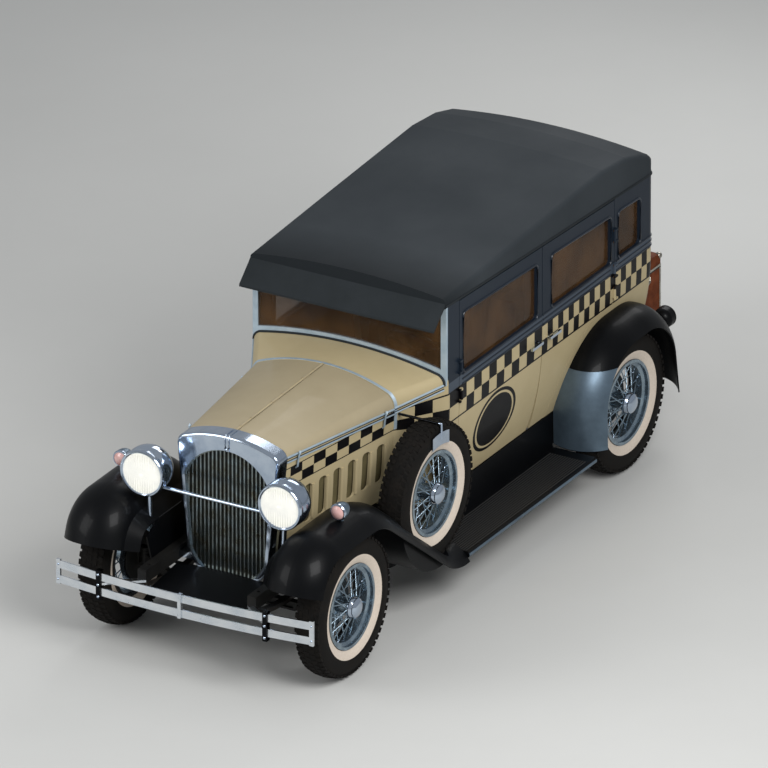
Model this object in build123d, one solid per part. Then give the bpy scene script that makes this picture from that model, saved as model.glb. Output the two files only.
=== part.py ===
from build123d import *
import os
from math import atan2, cos, hypot, radians, sin, sqrt

os.makedirs("parts", exist_ok=True)

# A four-door taxi cab, in millimetres. X points forward, Y to the car's left, Z up.
# The ground is Z = 0 and X = 0 is midway along the car. Stations count back from the front axle.

# Wheels and axles
wheelbase = 3160.0
track = 1422.0
front_overhang = 620.0
rear_overhang = 960.0
tyre_radius = 423.0
tyre_width = 165.0
rim_radius = 243.0
rim_flange = 11.0
spoke_count = 20
spoke_radius = 3.5
spindle_radius = 15.0
kingpin_inset = 125.0
kingpin_radius = 12.0
drum_radius = 150.0
arm_length = 150.0

# Body
sill_half_width = 540.0
sill_height = 500.0
body_half_width = 640.0
bulge_height = 1100.0
wall = 45.0
body_rear = 3715.0
corner_radius = 70.0
post_front = 1330.0
post_rear = 1450.0
door_split = 2405.0
rear_post = 3240.0
arch_radius = 575.0
roof_front = 1288.0
roof_top = 1900.0
drip_front_drop = 168.0
drip_rear_drop = 276.0
window_head = 95.0
window_bottom = 1252.0
floor_height = 560.0
floor_board = 25.0

# Frame, fenders and running boards
rail_half_width = 360.0
rail_width = 56.0
rail_bottom = 480.0
rail_top = 560.0
tow_station = -340.0
tow_radius = 10.5
fender_half_width = 850.0
fender_sheet = 8.0
board_top = 283.0
board_thickness = 38.0
board_inner = 545.0
board_front = 1216.0
board_rear = 2685.0

# Spare wheel and trunk
spare_station = 960.0
spare_height = 740.0
spare_side = 700.0
trunk_front = 3812.0
trunk_half_width = 450.0
trunk_bottom = 480.0
trunk_split = 835.0
trunk_top = 922.0
trunk_wall = 12.0

# Clearances
door_gap = 5.0
hood_gap = 5.0
running_gap = 0.3
seat_gap = 0.3

front_axle_x = (wheelbase + rear_overhang - front_overhang) / 2.0
rear_axle_x = front_axle_x - wheelbase
wheel_y = track / 2.0
drip_front_height = roof_top - drip_front_drop
drip_rear_height = roof_top - drip_rear_drop
board_half_width = fender_half_width - 5.0
kingpin_y = wheel_y - kingpin_inset
axle_z = tyre_radius


def behind(station):
    return front_axle_x - station


def face_of(*curves):
    return make_face([edge for curve in curves for edge in curve.edges()])


def closed(*points):
    return face_of(Polyline(*points, close=True))


def side_prism(face, y_from, y_to):
    # A face drawn in X and Z, given a width in Y.
    return Pos(0, y_to, 0) * extrude(Plane.XZ * face, y_to - y_from)


def front_prism(face, x_from, x_to):
    # A face drawn in Y and Z, given a length in X.
    return Pos(x_from, 0, 0) * extrude(Plane.YZ * face, x_to - x_from)


def block(x_pair, y_pair, z_pair):
    size = [max(pair_of) - min(pair_of) for pair_of in (x_pair, y_pair, z_pair)]
    corner = [min(pair_of) for pair_of in (x_pair, y_pair, z_pair)]
    return Pos(*corner) * Box(*size, align=(Align.MIN, Align.MIN, Align.MIN))


def rod(start, end, radius):
    run = Vector(*end) - Vector(*start)
    seat = (Align.CENTER, Align.CENTER, Align.MIN)
    return Plane(origin=start, z_dir=run) * Cylinder(radius, run.length, align=seat)


def across(x, z, radius, y_from, y_to):
    # A round bar lying along Y.
    return rod((x, y_from, z), (x, y_to, z), radius)


def other_side(shape):
    return mirror(shape, about=Plane.XZ)


def both_sides(shape):
    return Compound(children=[shape, other_side(shape)])


def bowed(start, end, sagitta):
    # An arc bulging to the right of its run from start to end.
    run_y, run_z = end[0] - start[0], end[1] - start[1]
    length = hypot(run_y, run_z)
    middle_y = (start[0] + end[0]) / 2.0 + sagitta * run_z / length
    middle_z = (start[1] + end[1]) / 2.0 - sagitta * run_y / length
    return ThreePointArc(start, (middle_y, middle_z), end)


def biggest(shape):
    return max(shape.solids(), key=lambda solid: solid.volume)


def save(name, shape):
    export_step(shape, f"parts/{name}.step")


# Tyres and wheels, made once about the Y axis with the outer face to +Y.
half_tread = tyre_width / 2.0 - 14.5
bead = 60.0
tyre_skin = 16.0
side_swell = tyre_width / 2.0
side_radius = rim_radius + 87.0
shoulder_radius = tyre_radius - 19.0
flange_radius = rim_radius + rim_flange
tyre_face = face_of(
    Line((rim_radius, -bead), (flange_radius + 2.0, -bead)),
    ThreePointArc((flange_radius + 2.0, -bead), (side_radius, -side_swell), (shoulder_radius, -half_tread)),
    ThreePointArc((shoulder_radius, -half_tread), (tyre_radius, 0.0), (shoulder_radius, half_tread)),
    ThreePointArc((shoulder_radius, half_tread), (side_radius, side_swell), (flange_radius + 2.0, bead)),
    Line((flange_radius + 2.0, bead), (rim_radius, bead)),
    Line((rim_radius, bead), (rim_radius, bead - tyre_skin)),
    ThreePointArc(
        (rim_radius, bead - tyre_skin),
        (side_radius, side_swell - tyre_skin),
        (shoulder_radius - 12.0, half_tread - tyre_skin),
    ),
    ThreePointArc(
        (shoulder_radius - 12.0, half_tread - tyre_skin),
        (tyre_radius - tyre_skin - 2.0, 0.0),
        (shoulder_radius - 12.0, tyre_skin - half_tread),
    ),
    ThreePointArc(
        (shoulder_radius - 12.0, tyre_skin - half_tread),
        (side_radius, tyre_skin - side_swell),
        (rim_radius, tyre_skin - bead),
    ),
    Line((rim_radius, tyre_skin - bead), (rim_radius, -bead)),
)
tyre = revolve(tyre_face, Axis.Y)

seat_radius = rim_radius - seat_gap
rim_edge = bead + seat_gap
rim_half = [
    (flange_radius, rim_edge),
    (flange_radius, rim_edge + 6.5),
    (seat_radius - 6.5, rim_edge + 6.5),
    (seat_radius - 6.5, rim_edge - 14.0),
    (seat_radius - 26.0, 36.0),
]
rim_well = [
    (seat_radius - 19.0, 34.0),
    (seat_radius, 42.0),
    (seat_radius, rim_edge),
]
rim_points = rim_half + [(r, -y) for r, y in reversed(rim_half)]
rim_points += [(r, -y) for r, y in reversed(rim_well)] + rim_well
rim = revolve(closed(*rim_points), Axis.Y)

hub_bore = spindle_radius + running_gap
hub_outer = [
    (66.0, -46.0),
    (66.0, -34.0),
    (46.0, -26.0),
    (46.0, 50.0),
    (64.0, 58.0),
    (64.0, 70.0),
    (56.0, 74.0),
    (56.0, 96.0),
    (42.0, 106.0),
    (0.0, 110.0),
    (0.0, 62.0),
    (hub_bore, 62.0),
    (hub_bore, -54.0),
]
drum_lip = [
    (drum_radius - 7.0, -54.0),
    (drum_radius - 7.0, -74.0),
    (drum_radius, -74.0),
    (drum_radius, -46.0),
]
hub = revolve(closed(*hub_outer, (66.0, -54.0)), Axis.Y)
drum = revolve(closed(*drum_lip, (50.0, -46.0), (50.0, -54.0)), Axis.Y)

# Spoke rows: hub radius, hub side offset, rim side offset, lean of each spoke in degrees.
spoke_rows = [
    (58.0, 64.0, 9.0, 24.0),
    (58.0, -40.0, -9.0, 24.0),
]
spokes = []
for hub_reach, hub_side, rim_side, lean in spoke_rows:
    for index in range(spoke_count):
        turn = 360.0 / spoke_count * (index + (0.5 if hub_side < 0 else 0.0))
        foot = radians(turn + (lean if index % 2 else -lean))
        head = radians(turn)
        rim_reach = seat_radius - 22.0
        start = (hub_reach * cos(foot), hub_side, hub_reach * sin(foot))
        end = (rim_reach * cos(head), rim_side, rim_reach * sin(head))
        spokes.append(rod(start, end, spoke_radius))
wheel_plain = rim + hub + spokes
wheel_drummed = wheel_plain + drum

# Wheel places: name, station, side, drum or none.
wheel_places = [
    ("front_left", 0.0, 1),
    ("front_right", 0.0, -1),
    ("rear_left", wheelbase, 1),
    ("rear_right", wheelbase, -1),
]
for name, station, side in wheel_places:
    place = Pos(behind(station), side * wheel_y, axle_z) * Rot(0, 0, 0 if side > 0 else 180)
    save(f"tyre_{name}", place * tyre)
    save(f"wheel_{name}", place * wheel_drummed)

spare_place = Pos(behind(spare_station), spare_side, spare_height)
save("spare_tyre", spare_place * tyre)
save("spare_wheel", spare_place * wheel_plain)

# Front axle: a dropped beam with an eye for each kingpin.
beam_low = 345.0
beam_half_height = 27.0
beam_half_depth = 22.0
eye_radius = 26.0
eye_half_height = 36.0
beam_top = [
    (kingpin_y - 10.0, axle_z + 24.0),
    (430.0, beam_low + beam_half_height),
    (-430.0, beam_low + beam_half_height),
    (10.0 - kingpin_y, axle_z + 24.0),
]
beam_bottom = [
    (10.0 - kingpin_y, axle_z - 24.0),
    (-410.0, beam_low - beam_half_height),
    (410.0, beam_low - beam_half_height),
    (kingpin_y - 10.0, axle_z - 24.0),
]
beam = front_prism(
    closed(*beam_top, *beam_bottom), behind(beam_half_depth), behind(-beam_half_depth)
)
for side in (1, -1):
    groove_x = sorted((behind(side * 8.0), behind(side * 60.0)))
    beam -= block(groove_x, (-400.0, 400.0), (beam_low - 14.0, beam_low + 14.0))
for side in (1, -1):
    eye_seat = Pos(behind(0), side * kingpin_y, axle_z)
    beam += eye_seat * Cylinder(eye_radius, 2.0 * eye_half_height)
for side in (1, -1):
    eye_seat = Pos(behind(0), side * kingpin_y, axle_z)
    beam -= eye_seat * Cylinder(kingpin_radius + running_gap, 4.0 * eye_half_height)
save("front_axle", beam)

# Steering knuckles: fork, kingpin, spindle, backing plate and steering arm, left one drawn.
ear_low = eye_half_height + 1.0
ear_high = ear_low + 20.0
web_y = kingpin_y + eye_radius + 1.2
plate_y = wheel_y - 86.0
arm_x = behind(arm_length)
arm_y = kingpin_y
arm_top = axle_z - ear_low
arm_bottom = axle_z - ear_high
knuckle = across(behind(0), axle_z, spindle_radius, plate_y, wheel_y + 56.0)
knuckle += across(behind(0), axle_z, drum_radius - 4.0, plate_y, plate_y + 6.0)
knuckle += block((behind(22), behind(-22)), (web_y, plate_y), (axle_z - ear_high, axle_z + ear_high))
for low, high in ((ear_low, ear_high), (-ear_high, -ear_low)):
    knuckle += block(
        (behind(22), behind(-22)), (kingpin_y, plate_y), (axle_z + low, axle_z + high)
    )
    knuckle += Pos(behind(0), kingpin_y, axle_z + (low + high) / 2.0) * Cylinder(24.0, high - low)
knuckle += Pos(behind(0), kingpin_y, axle_z) * Cylinder(kingpin_radius, 2.0 * ear_high)
arm_face = closed(
    (behind(-10), kingpin_y - 18.0),
    (behind(-10), kingpin_y + 18.0),
    (arm_x, arm_y + 14.0),
    (arm_x, arm_y - 14.0),
)
knuckle += Pos(0, 0, arm_bottom) * extrude(arm_face, arm_top - arm_bottom)
knuckle += Pos(arm_x, arm_y, (arm_top + arm_bottom) / 2.0) * Cylinder(14.0, arm_top - arm_bottom)
pin_radius = 8.0
pin_drop = 30.0
knuckle += Pos(arm_x, arm_y, arm_bottom - pin_drop / 2.0) * Cylinder(pin_radius, pin_drop)
save("knuckle_left", knuckle)
save("knuckle_right", other_side(knuckle))

# Tie rod with an eye round each arm pin.
tie_z = arm_bottom - 16.0
tie = across(arm_x, tie_z, 9.0, -arm_y, arm_y)
for side in (1, -1):
    tie += Pos(arm_x, side * arm_y, tie_z) * Cylinder(17.0, 22.0)
for side in (1, -1):
    tie -= Pos(arm_x, side * arm_y, tie_z) * Cylinder(pin_radius + running_gap, 60.0)
save("tie_rod", tie)

# Rear axle: tubes, differential, backing plates, stub shafts and torque tube.
tube_radius = 38.0
rear_plate_y = wheel_y - 86.0
rear_axle = across(rear_axle_x, axle_z, tube_radius, -rear_plate_y, rear_plate_y)
ball_face = face_of(
    Line((0.0, -120.0), (60.0, -120.0)),
    ThreePointArc((60.0, -120.0), (128.0, 0.0), (60.0, 120.0)),
    Line((60.0, 120.0), (0.0, 120.0)),
    Line((0.0, 120.0), (0.0, -120.0)),
)
rear_axle += Pos(rear_axle_x, 0, axle_z) * revolve(ball_face, Axis.Y)
for side in (1, -1):
    inner, outer = sorted((side * (rear_plate_y - 6.0), side * rear_plate_y))
    rear_axle += across(rear_axle_x, axle_z, drum_radius - 4.0, inner, outer)
    inner, outer = sorted((side * (rear_plate_y - 10.0), side * (wheel_y + 56.0)))
    rear_axle += across(rear_axle_x, axle_z, spindle_radius, inner, outer)
gearbox_rear = 1480.0
rear_axle += rod((behind(gearbox_rear + 0.3), 0, 470.0), (rear_axle_x + 60.0, 0, axle_z), 36.0)
rear_axle -= block((behind(gearbox_rear + 0.3), behind(gearbox_rear - 60.0)), (-60, 60), (400, 540))
save("rear_axle", rear_axle)

# Engine and gearbox as one plain block, with four mounting arms to the rails.
rail_in = rail_half_width - rail_width / 2.0
rail_out = rail_half_width + rail_width / 2.0
engine_steps = [
    (120.0, 880.0, 170.0, 420.0, 980.0),
    (880.0, 1000.0, 200.0, 400.0, 760.0),
    (1000.0, gearbox_rear, 120.0, 400.0, 550.0),
]
engine = None
for front, rear, half_width, low, high in engine_steps:
    step = block((behind(rear), behind(front)), (-half_width, half_width), (low, high))
    engine = step if engine is None else engine + step
for station in (240.0, 920.0):
    reach = rail_in - seat_gap
    engine += block((behind(station + 50), behind(station)), (-reach, reach), (505.0, 535.0))
fan_seat = Plane(origin=(behind(120), 0, 820), z_dir=(1, 0, 0))
engine += fan_seat * Cylinder(35.0, 60.0, align=(Align.CENTER, Align.CENTER, Align.MIN))
save("engine", engine)

# Exhaust: manifold on the right of the engine, down pipe, silencer and tail pipe.
pipe_y = -250.0
pipe_z = 330.0
exhaust = block((behind(760), behind(240)), (-250.0, -170.0 - seat_gap), (720.0, 770.0))
exhaust += rod((behind(700), pipe_y, 745.0), (behind(700), pipe_y, pipe_z), 24.0)
exhaust += Pos(behind(700), pipe_y, pipe_z) * Sphere(24.0)
exhaust += rod((behind(700), pipe_y, pipe_z), (behind(3900), pipe_y, pipe_z), 24.0)
exhaust += rod((behind(2000), pipe_y, pipe_z), (behind(2650), pipe_y, pipe_z), 68.0)
save("exhaust", exhaust)

# Frame rails with running-board brackets, one solid each side.
rail_front = -420.0
rail_rear = 3790.0
rail = block((behind(rail_rear), behind(rail_front)), (rail_in, rail_out), (rail_bottom, rail_top))
bracket_face = closed(
    (rail_out - 5.0, 550.0),
    (board_inner - 7.0, 300.0),
    (board_inner - 7.0, board_top - board_thickness - seat_gap),
    (800.0, board_top - board_thickness - seat_gap),
    (800.0, 229.0),
    (520.0, 229.0),
    (rail_out - 5.0, 482.0),
)
for station in (1480.0, 2360.0):
    rail += front_prism(bracket_face, behind(station + 12.0), behind(station))
rail -= Pos(behind(tow_station), rail_half_width, rail_bottom) * Cylinder(tow_radius, 4.0 * rail_width)
save("frame_rails", both_sides(rail))

# Cross members between the rails: station, front to rear length, bottom, top.
cross_table = [
    (60.0, 45.0, 490.0, 550.0),
    (1620.0, 60.0, 510.0, 556.0),
    (2480.0, 60.0, 490.0, 556.0),
    (3740.0, 45.0, 490.0, 550.0),
]
cross_members = []
for station, length, low, high in cross_table:
    reach = rail_in - seat_gap
    cross_members.append(block((behind(station + length), behind(station)), (-reach, reach), (low, high)))
save("cross_members", Compound(children=cross_members))

# Leaf springs under the rails: centre station, half length, height of the middle, height of the eyes.
spring_half_width = 22.0
spring_thick = 26.0
spring_table = [
    (0.0, 390.0, beam_low + beam_half_height + 13.5, 452.0),
    (wheelbase, 540.0, axle_z - tube_radius - 13.5, 440.0),
]
springs = []
for station, half_length, middle_z, eye_z in spring_table:
    x_front, x_rear = behind(station - half_length), behind(station + half_length)
    half = spring_thick / 2.0
    top = ThreePointArc((x_front, eye_z + half), (behind(station), middle_z + half), (x_rear, eye_z + half))
    low = ThreePointArc((x_rear, eye_z - half), (behind(station), middle_z - half), (x_front, eye_z - half))
    ends = [
        Line((x_rear, eye_z + half), (x_rear, eye_z - half)),
        Line((x_front, eye_z - half), (x_front, eye_z + half)),
    ]
    y_low, y_high = rail_half_width - spring_half_width, rail_half_width + spring_half_width
    spring = side_prism(face_of(top, ends[0], low, ends[1]), y_low, y_high)
    for x_eye in (x_front, x_rear):
        spring += across(x_eye, eye_z, 18.0, y_low, y_high)
        spring += block((x_eye - 12, x_eye + 12), (y_low, y_high), (eye_z, rail_bottom - seat_gap))
    springs += [spring, other_side(spring)]
save("leaf_springs", Compound(children=springs))

# Cabin walls: one side profile carried along the side, round each rear corner and across the back.
bulge_rise = bulge_height - sill_height
tuck = body_half_width - sill_half_width
side_arc = (bulge_rise ** 2 + tuck ** 2) / (2.0 * tuck)
wall_top = drip_front_height + 58.0


def side_y(height, inset=0.0):
    # Half-width of the cabin side at a height.
    drop = max(0.0, bulge_height - height)
    radius = side_arc - inset
    return body_half_width - side_arc + sqrt(radius ** 2 - drop ** 2)


def wall_profile(outer, inner, low, high):
    # A strip of the cabin side between two depths behind its outer face.
    middle = (low + bulge_height) / 2.0
    out_y, in_y = body_half_width - outer, body_half_width - inner
    return face_of(
        ThreePointArc((side_y(low, outer), low), (side_y(middle, outer), middle), (out_y, bulge_height)),
        Line((out_y, bulge_height), (out_y, high)),
        Line((out_y, high), (in_y, high)),
        Line((in_y, high), (in_y, bulge_height)),
        ThreePointArc((in_y, bulge_height), (side_y(middle, inner), middle), (side_y(low, inner), low)),
        Line((side_y(low, inner), low), (side_y(low, outer), low)),
    )


def cabin_solid(inset):
    # The whole cabin block, tucked in at the sides and the back, with rounded rear corners.
    middle = (sill_height + bulge_height) / 2.0
    full_y, low_y, middle_y = [side_y(height, inset) for height in (bulge_height, sill_height, middle)]
    section = face_of(
        Line((-low_y, sill_height), (low_y, sill_height)),
        ThreePointArc((low_y, sill_height), (middle_y, middle), (full_y, bulge_height)),
        Line((full_y, bulge_height), (full_y, wall_top)),
        Line((full_y, wall_top), (-full_y, wall_top)),
        Line((-full_y, wall_top), (-full_y, bulge_height)),
        ThreePointArc((-full_y, bulge_height), (-middle_y, middle), (-low_y, sill_height)),
    )
    back_x, front_x = behind(body_rear) + body_half_width, behind(post_front)
    low_x, middle_x, full_x = back_x - low_y, back_x - middle_y, back_x - full_y
    profile = face_of(
        ThreePointArc((low_x, sill_height), (middle_x, middle), (full_x, bulge_height)),
        Line((full_x, bulge_height), (full_x, wall_top)),
        Line((full_x, wall_top), (front_x, wall_top)),
        Line((front_x, wall_top), (front_x, sill_height)),
        Line((front_x, sill_height), (low_x, sill_height)),
    )
    solid = front_prism(section, behind(body_rear), behind(post_front)) & side_prism(profile, -900.0, 900.0)
    corners = [edge for edge in solid.edges() if edge.center().X < behind(body_rear - 150.0)]
    corners = [edge for edge in corners if abs(edge.position_at(0).Z - edge.position_at(1).Z) > 50.0]
    corners = [edge for edge in corners if abs(edge.center().Y) > body_half_width - 150.0]
    return fillet(corners, corner_radius - inset)


wall_face = wall_profile(0.0, wall, sill_height, wall_top)
corner_station = body_rear - 2.0 * corner_radius
straight_wall = front_prism(wall_face, behind(corner_station), behind(post_front))
rear_zone = block((behind(body_rear + 50.0), behind(corner_station)), (-900, 900), (0, wall_top))
rear_walls = (cabin_solid(0.0) - cabin_solid(wall)) & rear_zone


def drip_z(station):
    share = (station - roof_front) / (body_rear - roof_front)
    return drip_front_height + share * (drip_rear_height - drip_front_height)


def below_drip(gap):
    # Everything under the roof's lower edge.
    return side_prism(
        closed(
            (behind(900.0), 0.0),
            (behind(900.0), drip_z(900.0) - gap),
            (behind(4000.0), drip_z(4000.0) - gap),
            (behind(4000.0), 0.0),
        ),
        -900.0,
        900.0,
    )


# Windows of the side: front station, rear station. Their heads follow the drip line.
window_table = {
    "front": (1500.0, 2345.0),
    "rear": (2512.0, 3195.0),
    "quarter": (3285.0, 3536.0),
}
glass_thickness = 6.0
glass_y = body_half_width - wall / 2.0


def rounded_window(key, shrink):
    front, rear = window_table[key]
    high_front, high_rear = drip_z(front) - window_head, drip_z(rear) - window_head
    points = [
        (behind(rear) + shrink, window_bottom + shrink),
        (behind(front) - shrink, window_bottom + shrink),
        (behind(front) - shrink, high_front - shrink),
        (behind(rear) + shrink, high_rear - shrink),
    ]
    return fillet(closed(*points).vertices(), 30.0 - shrink)


def window_hole(key):
    return side_prism(rounded_window(key, 0.0), body_half_width - 2.0 * wall, body_half_width + wall)


def window_glass(key):
    half = glass_thickness / 2.0
    return side_prism(rounded_window(key, seat_gap), glass_y - half, glass_y + half)


door_bottom = sill_height + door_gap
edge_bevel = 0.16


def door_zone(hinge_edge, free_edge):
    # Plan of a door: square at the hinge, bevelled inward at the free edge so that it swings clear.
    lean = edge_bevel * body_half_width * (1.0 if free_edge > hinge_edge else -1.0)
    plan = closed(
        (behind(hinge_edge), 0.0),
        (behind(hinge_edge), 900.0),
        (behind(free_edge), 900.0),
        (behind(free_edge), body_half_width),
        (behind(free_edge - lean), 0.0),
    )
    return Pos(0, 0, door_bottom) * extrude(plan, wall_top - door_bottom)


front_door_zone = door_zone(post_rear + door_gap, door_split - door_gap / 2.0)
rear_door_zone = door_zone(rear_post - door_gap, door_split + door_gap / 2.0)
rear_door_zone -= across(rear_axle_x, axle_z, arch_radius, 0, 900)
handle_proud = 34.0


def door_handle(station, height, reach):
    # A lever handle on one stem; reach is its length along X from the stem.
    root_y = body_half_width - 4.0
    grip_y = body_half_width + handle_proud
    handle = across(behind(station), height, 9.0, root_y, grip_y)
    heel = -14.0 if reach > 0 else 14.0
    grip_x = (behind(station) + heel, behind(station) + reach)
    handle += block(grip_x, (grip_y - 14.0, grip_y), (height - 8.0, height + 8.0))
    return handle


hinge_y = body_half_width + 10.0
barrel_radius = 8.0
barrel_half = 30.0
door_pin_radius = 4.0


def hinge_barrels(station, heights):
    # Outside hinge barrels standing on the door skin.
    barrels = []
    for height in heights:
        x = behind(station)
        barrels.append(Pos(x, hinge_y, height) * Cylinder(barrel_radius, 2.0 * barrel_half))
        reach = (side_y(height) - 6.0, hinge_y)
        barrels.append(block((x - 8.0, x + 8.0), reach, (height - barrel_half, height + barrel_half)))
    return barrels


def hinge_bores(station, heights):
    radius = door_pin_radius + running_gap
    return [Pos(behind(station), hinge_y, height) * Cylinder(radius, 80.0) for height in heights]


def hinge_lugs(station, post_station, heights):
    # Fixed lugs above and below each barrel, with the pin through it.
    lugs = []
    x, post_x = behind(station), behind(post_station)
    for height in heights:
        lugs.append(Pos(x, hinge_y, height) * Cylinder(door_pin_radius, 2.0 * barrel_half + 20.0))
        for end in (1, -1):
            z_pair = (height + end * (barrel_half + seat_gap), height + end * (barrel_half + 12.0))
            middle = (z_pair[0] + z_pair[1]) / 2.0
            lugs.append(Pos(x, hinge_y, middle) * Cylinder(barrel_radius, abs(z_pair[1] - z_pair[0])))
            lugs.append(block((x, post_x), (hinge_y - 9.0, hinge_y + barrel_radius), z_pair))
            foot_x = (post_x, post_x + (14.0 if post_x > x else -14.0))
            lugs.append(block(foot_x, (side_y(height) - 8.0, hinge_y + barrel_radius), z_pair))
    return lugs


front_hinge_station = post_rear + door_gap + 9.0
rear_hinge_station = rear_post - door_gap - 9.0
door_top = below_drip(door_gap)
front_door = (straight_wall & front_door_zone & door_top) - window_hole("front")
front_door += door_handle(2350.0, 1098.0, 110.0)
front_hinges = (760.0, 1130.0, 1310.0)
front_door += hinge_barrels(front_hinge_station, front_hinges)
front_door -= hinge_bores(front_hinge_station, front_hinges)
rear_door = (straight_wall & rear_door_zone & door_top) - window_hole("rear")
rear_door += door_handle(2460.0, 1092.0, -110.0)
rear_hinges = (1060.0, 1200.0, 1420.0)
rear_door += hinge_barrels(rear_hinge_station, rear_hinges)
rear_door -= hinge_bores(rear_hinge_station, rear_hinges)
save("door_front_left", front_door)
save("door_front_right", other_side(front_door))
save("door_rear_left", rear_door)
save("door_rear_right", other_side(rear_door))
save("door_glass_front_left", window_glass("front"))
save("door_glass_front_right", other_side(window_glass("front")))
save("door_glass_rear_left", window_glass("rear"))
save("door_glass_rear_right", other_side(window_glass("rear")))

# Rear body shell: quarters and back in one piece, with the two centre posts behind the doors.
quarter_zone = block((behind(corner_station), behind(rear_post)), (0, 900), (sill_height, wall_top))
arch_zone = across(rear_axle_x, axle_z, arch_radius - door_gap, 0, 900)
arch_zone &= block((behind(rear_post), behind(2500.0)), (0, 900), (sill_height, wall_top))
quarter = (straight_wall & (quarter_zone + arch_zone)) - window_hole("quarter")
back_low, back_high = window_bottom + 38.0, drip_rear_height - 84.0
rear_window_face = closed((-310, back_low), (310, back_low), (310, back_high), (-310, back_high))
rear_window_face = fillet(rear_window_face.vertices(), 60.0)
rear_window = front_prism(rear_window_face, behind(body_rear + 50.0), behind(body_rear - 2.0 * wall))
shell = rear_walls + quarter + other_side(quarter)
shell = (shell & below_drip(0.0)) - rear_window
for side in (1, -1):
    notch_y = sorted((side * (rail_in - 3.0), side * (rail_out + 3.0)))
    shell -= block((behind(4000), behind(3400)), notch_y, (sill_height - 10.0, rail_top + 3.0))
shell = biggest(shell)
rear_lugs = hinge_lugs(rear_hinge_station, rear_post, rear_hinges)
shell += rear_lugs
shell += [other_side(lug) for lug in rear_lugs]
post_in, post_out = wall + door_gap, wall + door_gap + 45.0
post_face = wall_profile(post_in, post_out, floor_height + floor_board + seat_gap, drip_front_height - 20.0)
centre_post = front_prism(post_face, behind(door_split + 45.0), behind(door_split - 45.0))
save("body_shell", Compound(children=[biggest(shell), centre_post, other_side(centre_post)]))

# Roof: sections arched at the front and flatter behind, narrowing round the rear corners, hollow underneath.
# Columns: station, drop of the side edge below the roof top, drop of the centre line.
roof_rows = [
    (roof_front, 105.0, 62.0),
    (2170.0, 64.0, 32.0),
    (3119.0, 24.0, 0.0),
    (3380.0, 48.0, 15.0),
    (3570.0, 100.0, 58.0),
]
# Columns: angle round the rear corner, then the same two drops.
roof_corner_rows = [
    (0.0, 134.0, 93.0),
    (30.0, 158.0, 118.0),
    (60.0, 196.0, 152.0),
    (90.0, 228.0, 180.0),
]
roof_shoulder = 28.0
roof_base = drip_rear_height - 124.0
roof_liner = wall + door_gap - seat_gap
roof_skin = 40.0


def roof_section(x, half, edge_z, centre_z, base):
    bend = roof_shoulder * (1.0 - sqrt(0.5))
    corner, turn = edge_z - roof_shoulder, half - roof_shoulder
    section = face_of(
        Line((-half, base), (half, base)),
        Line((half, base), (half, corner)),
        ThreePointArc((half, corner), (half - bend, edge_z - bend), (turn, edge_z)),
        ThreePointArc((turn, edge_z), (0.0, centre_z), (-turn, edge_z)),
        ThreePointArc((-turn, edge_z), (bend - half, edge_z - bend), (-half, corner)),
        Line((-half, corner), (-half, base)),
    )
    return Pos(x, 0, 0) * (Plane.YZ * section)


def crown_solid(inset, drop):
    # Everything under the roof's skin, moved in and down.
    top, base = roof_top - drop, roof_base - drop
    radius = corner_radius - inset
    sections = []
    for station, edge_drop, centre_drop in roof_rows:
        x = behind(max(station, roof_front + inset))
        sections.append(roof_section(x, body_half_width - inset, top - edge_drop, top - centre_drop, base))
    for angle, edge_drop, centre_drop in roof_corner_rows:
        x = behind(body_rear - corner_radius + radius * sin(radians(angle)))
        half = body_half_width - corner_radius + radius * cos(radians(angle))
        sections.append(roof_section(x, half, top - edge_drop, top - centre_drop, base))
    return loft(sections, ruled=True)


roof = biggest((crown_solid(0.0, 0.0) - crown_solid(roof_liner, roof_skin)) - below_drip(0.0))
save("roof", roof)

# Hood and cowl sections, front to rear. Columns: station, bottom half-width, bottom height,
# bulge half-width, bulge height, side half-width, side height, crown half-width, crown height, top height.
hood_rows = [
    (35.0, 300.0, 620.0, 322.0, 1050.0, 328.0, 1235.0, 292.0, 1283.0, 1335.0),
    (1003.0, 424.0, 620.0, 462.0, 1050.0, 468.0, 1180.0, 428.0, 1266.0, 1356.0),
]
cowl_rows = [
    (1008.0, 426.0, 500.0, 462.0, 1050.0, 468.0, 1180.0, 428.0, 1266.0, 1356.0),
    (
        post_front,
        sill_half_width,
        sill_height,
        body_half_width,
        bulge_height,
        body_half_width,
        window_bottom - 2.0,
        605.0,
        1305.0,
        1367.0,
    ),
]
hood_sheet = 14.0
cowl_sheet = 30.0
shoulder_bow = 11.0


def section_face(row, inset, low_bow):
    station, y0, z0, y1, z1, y2, z2, y3, z3, top = row
    y0, y1, y2, y3 = y0 - inset, y1 - inset, y2 - inset, y3 - 0.8 * inset
    z0, z3, top = z0 - inset, z3 - 0.8 * inset, top - inset
    z2 = z2 - 0.4 * inset
    sketch = face_of(
        Line((-y0, z0), (y0, z0)),
        bowed((y0, z0), (y1, z1), low_bow),
        Line((y1, z1), (y2, z2)),
        bowed((y2, z2), (y3, z3), shoulder_bow),
        ThreePointArc((y3, z3), (0.0, top), (-y3, z3)),
        bowed((-y3, z3), (-y2, z2), shoulder_bow),
        Line((-y2, z2), (-y1, z1)),
        bowed((-y1, z1), (-y0, z0), low_bow),
    )
    return Pos(behind(station), 0, 0) * (Plane.YZ * sketch)


def section_loft(rows, inset, bows):
    return loft([section_face(row, inset, bow) for row, bow in zip(rows, bows)], ruled=True)


hood_bows = (8.0, 10.0)
cowl_bows = (14.0, side_arc - sqrt(side_arc ** 2 - (bulge_rise ** 2 + tuck ** 2) / 4.0))
hood_solid = section_loft(hood_rows, 0.0, hood_bows)
hood_shell = hood_solid - section_loft(hood_rows, hood_sheet, hood_bows)
cowl_solid = section_loft(cowl_rows, 0.0, cowl_bows)
cowl_shell = cowl_solid - section_loft(cowl_rows, cowl_sheet, cowl_bows)


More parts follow.
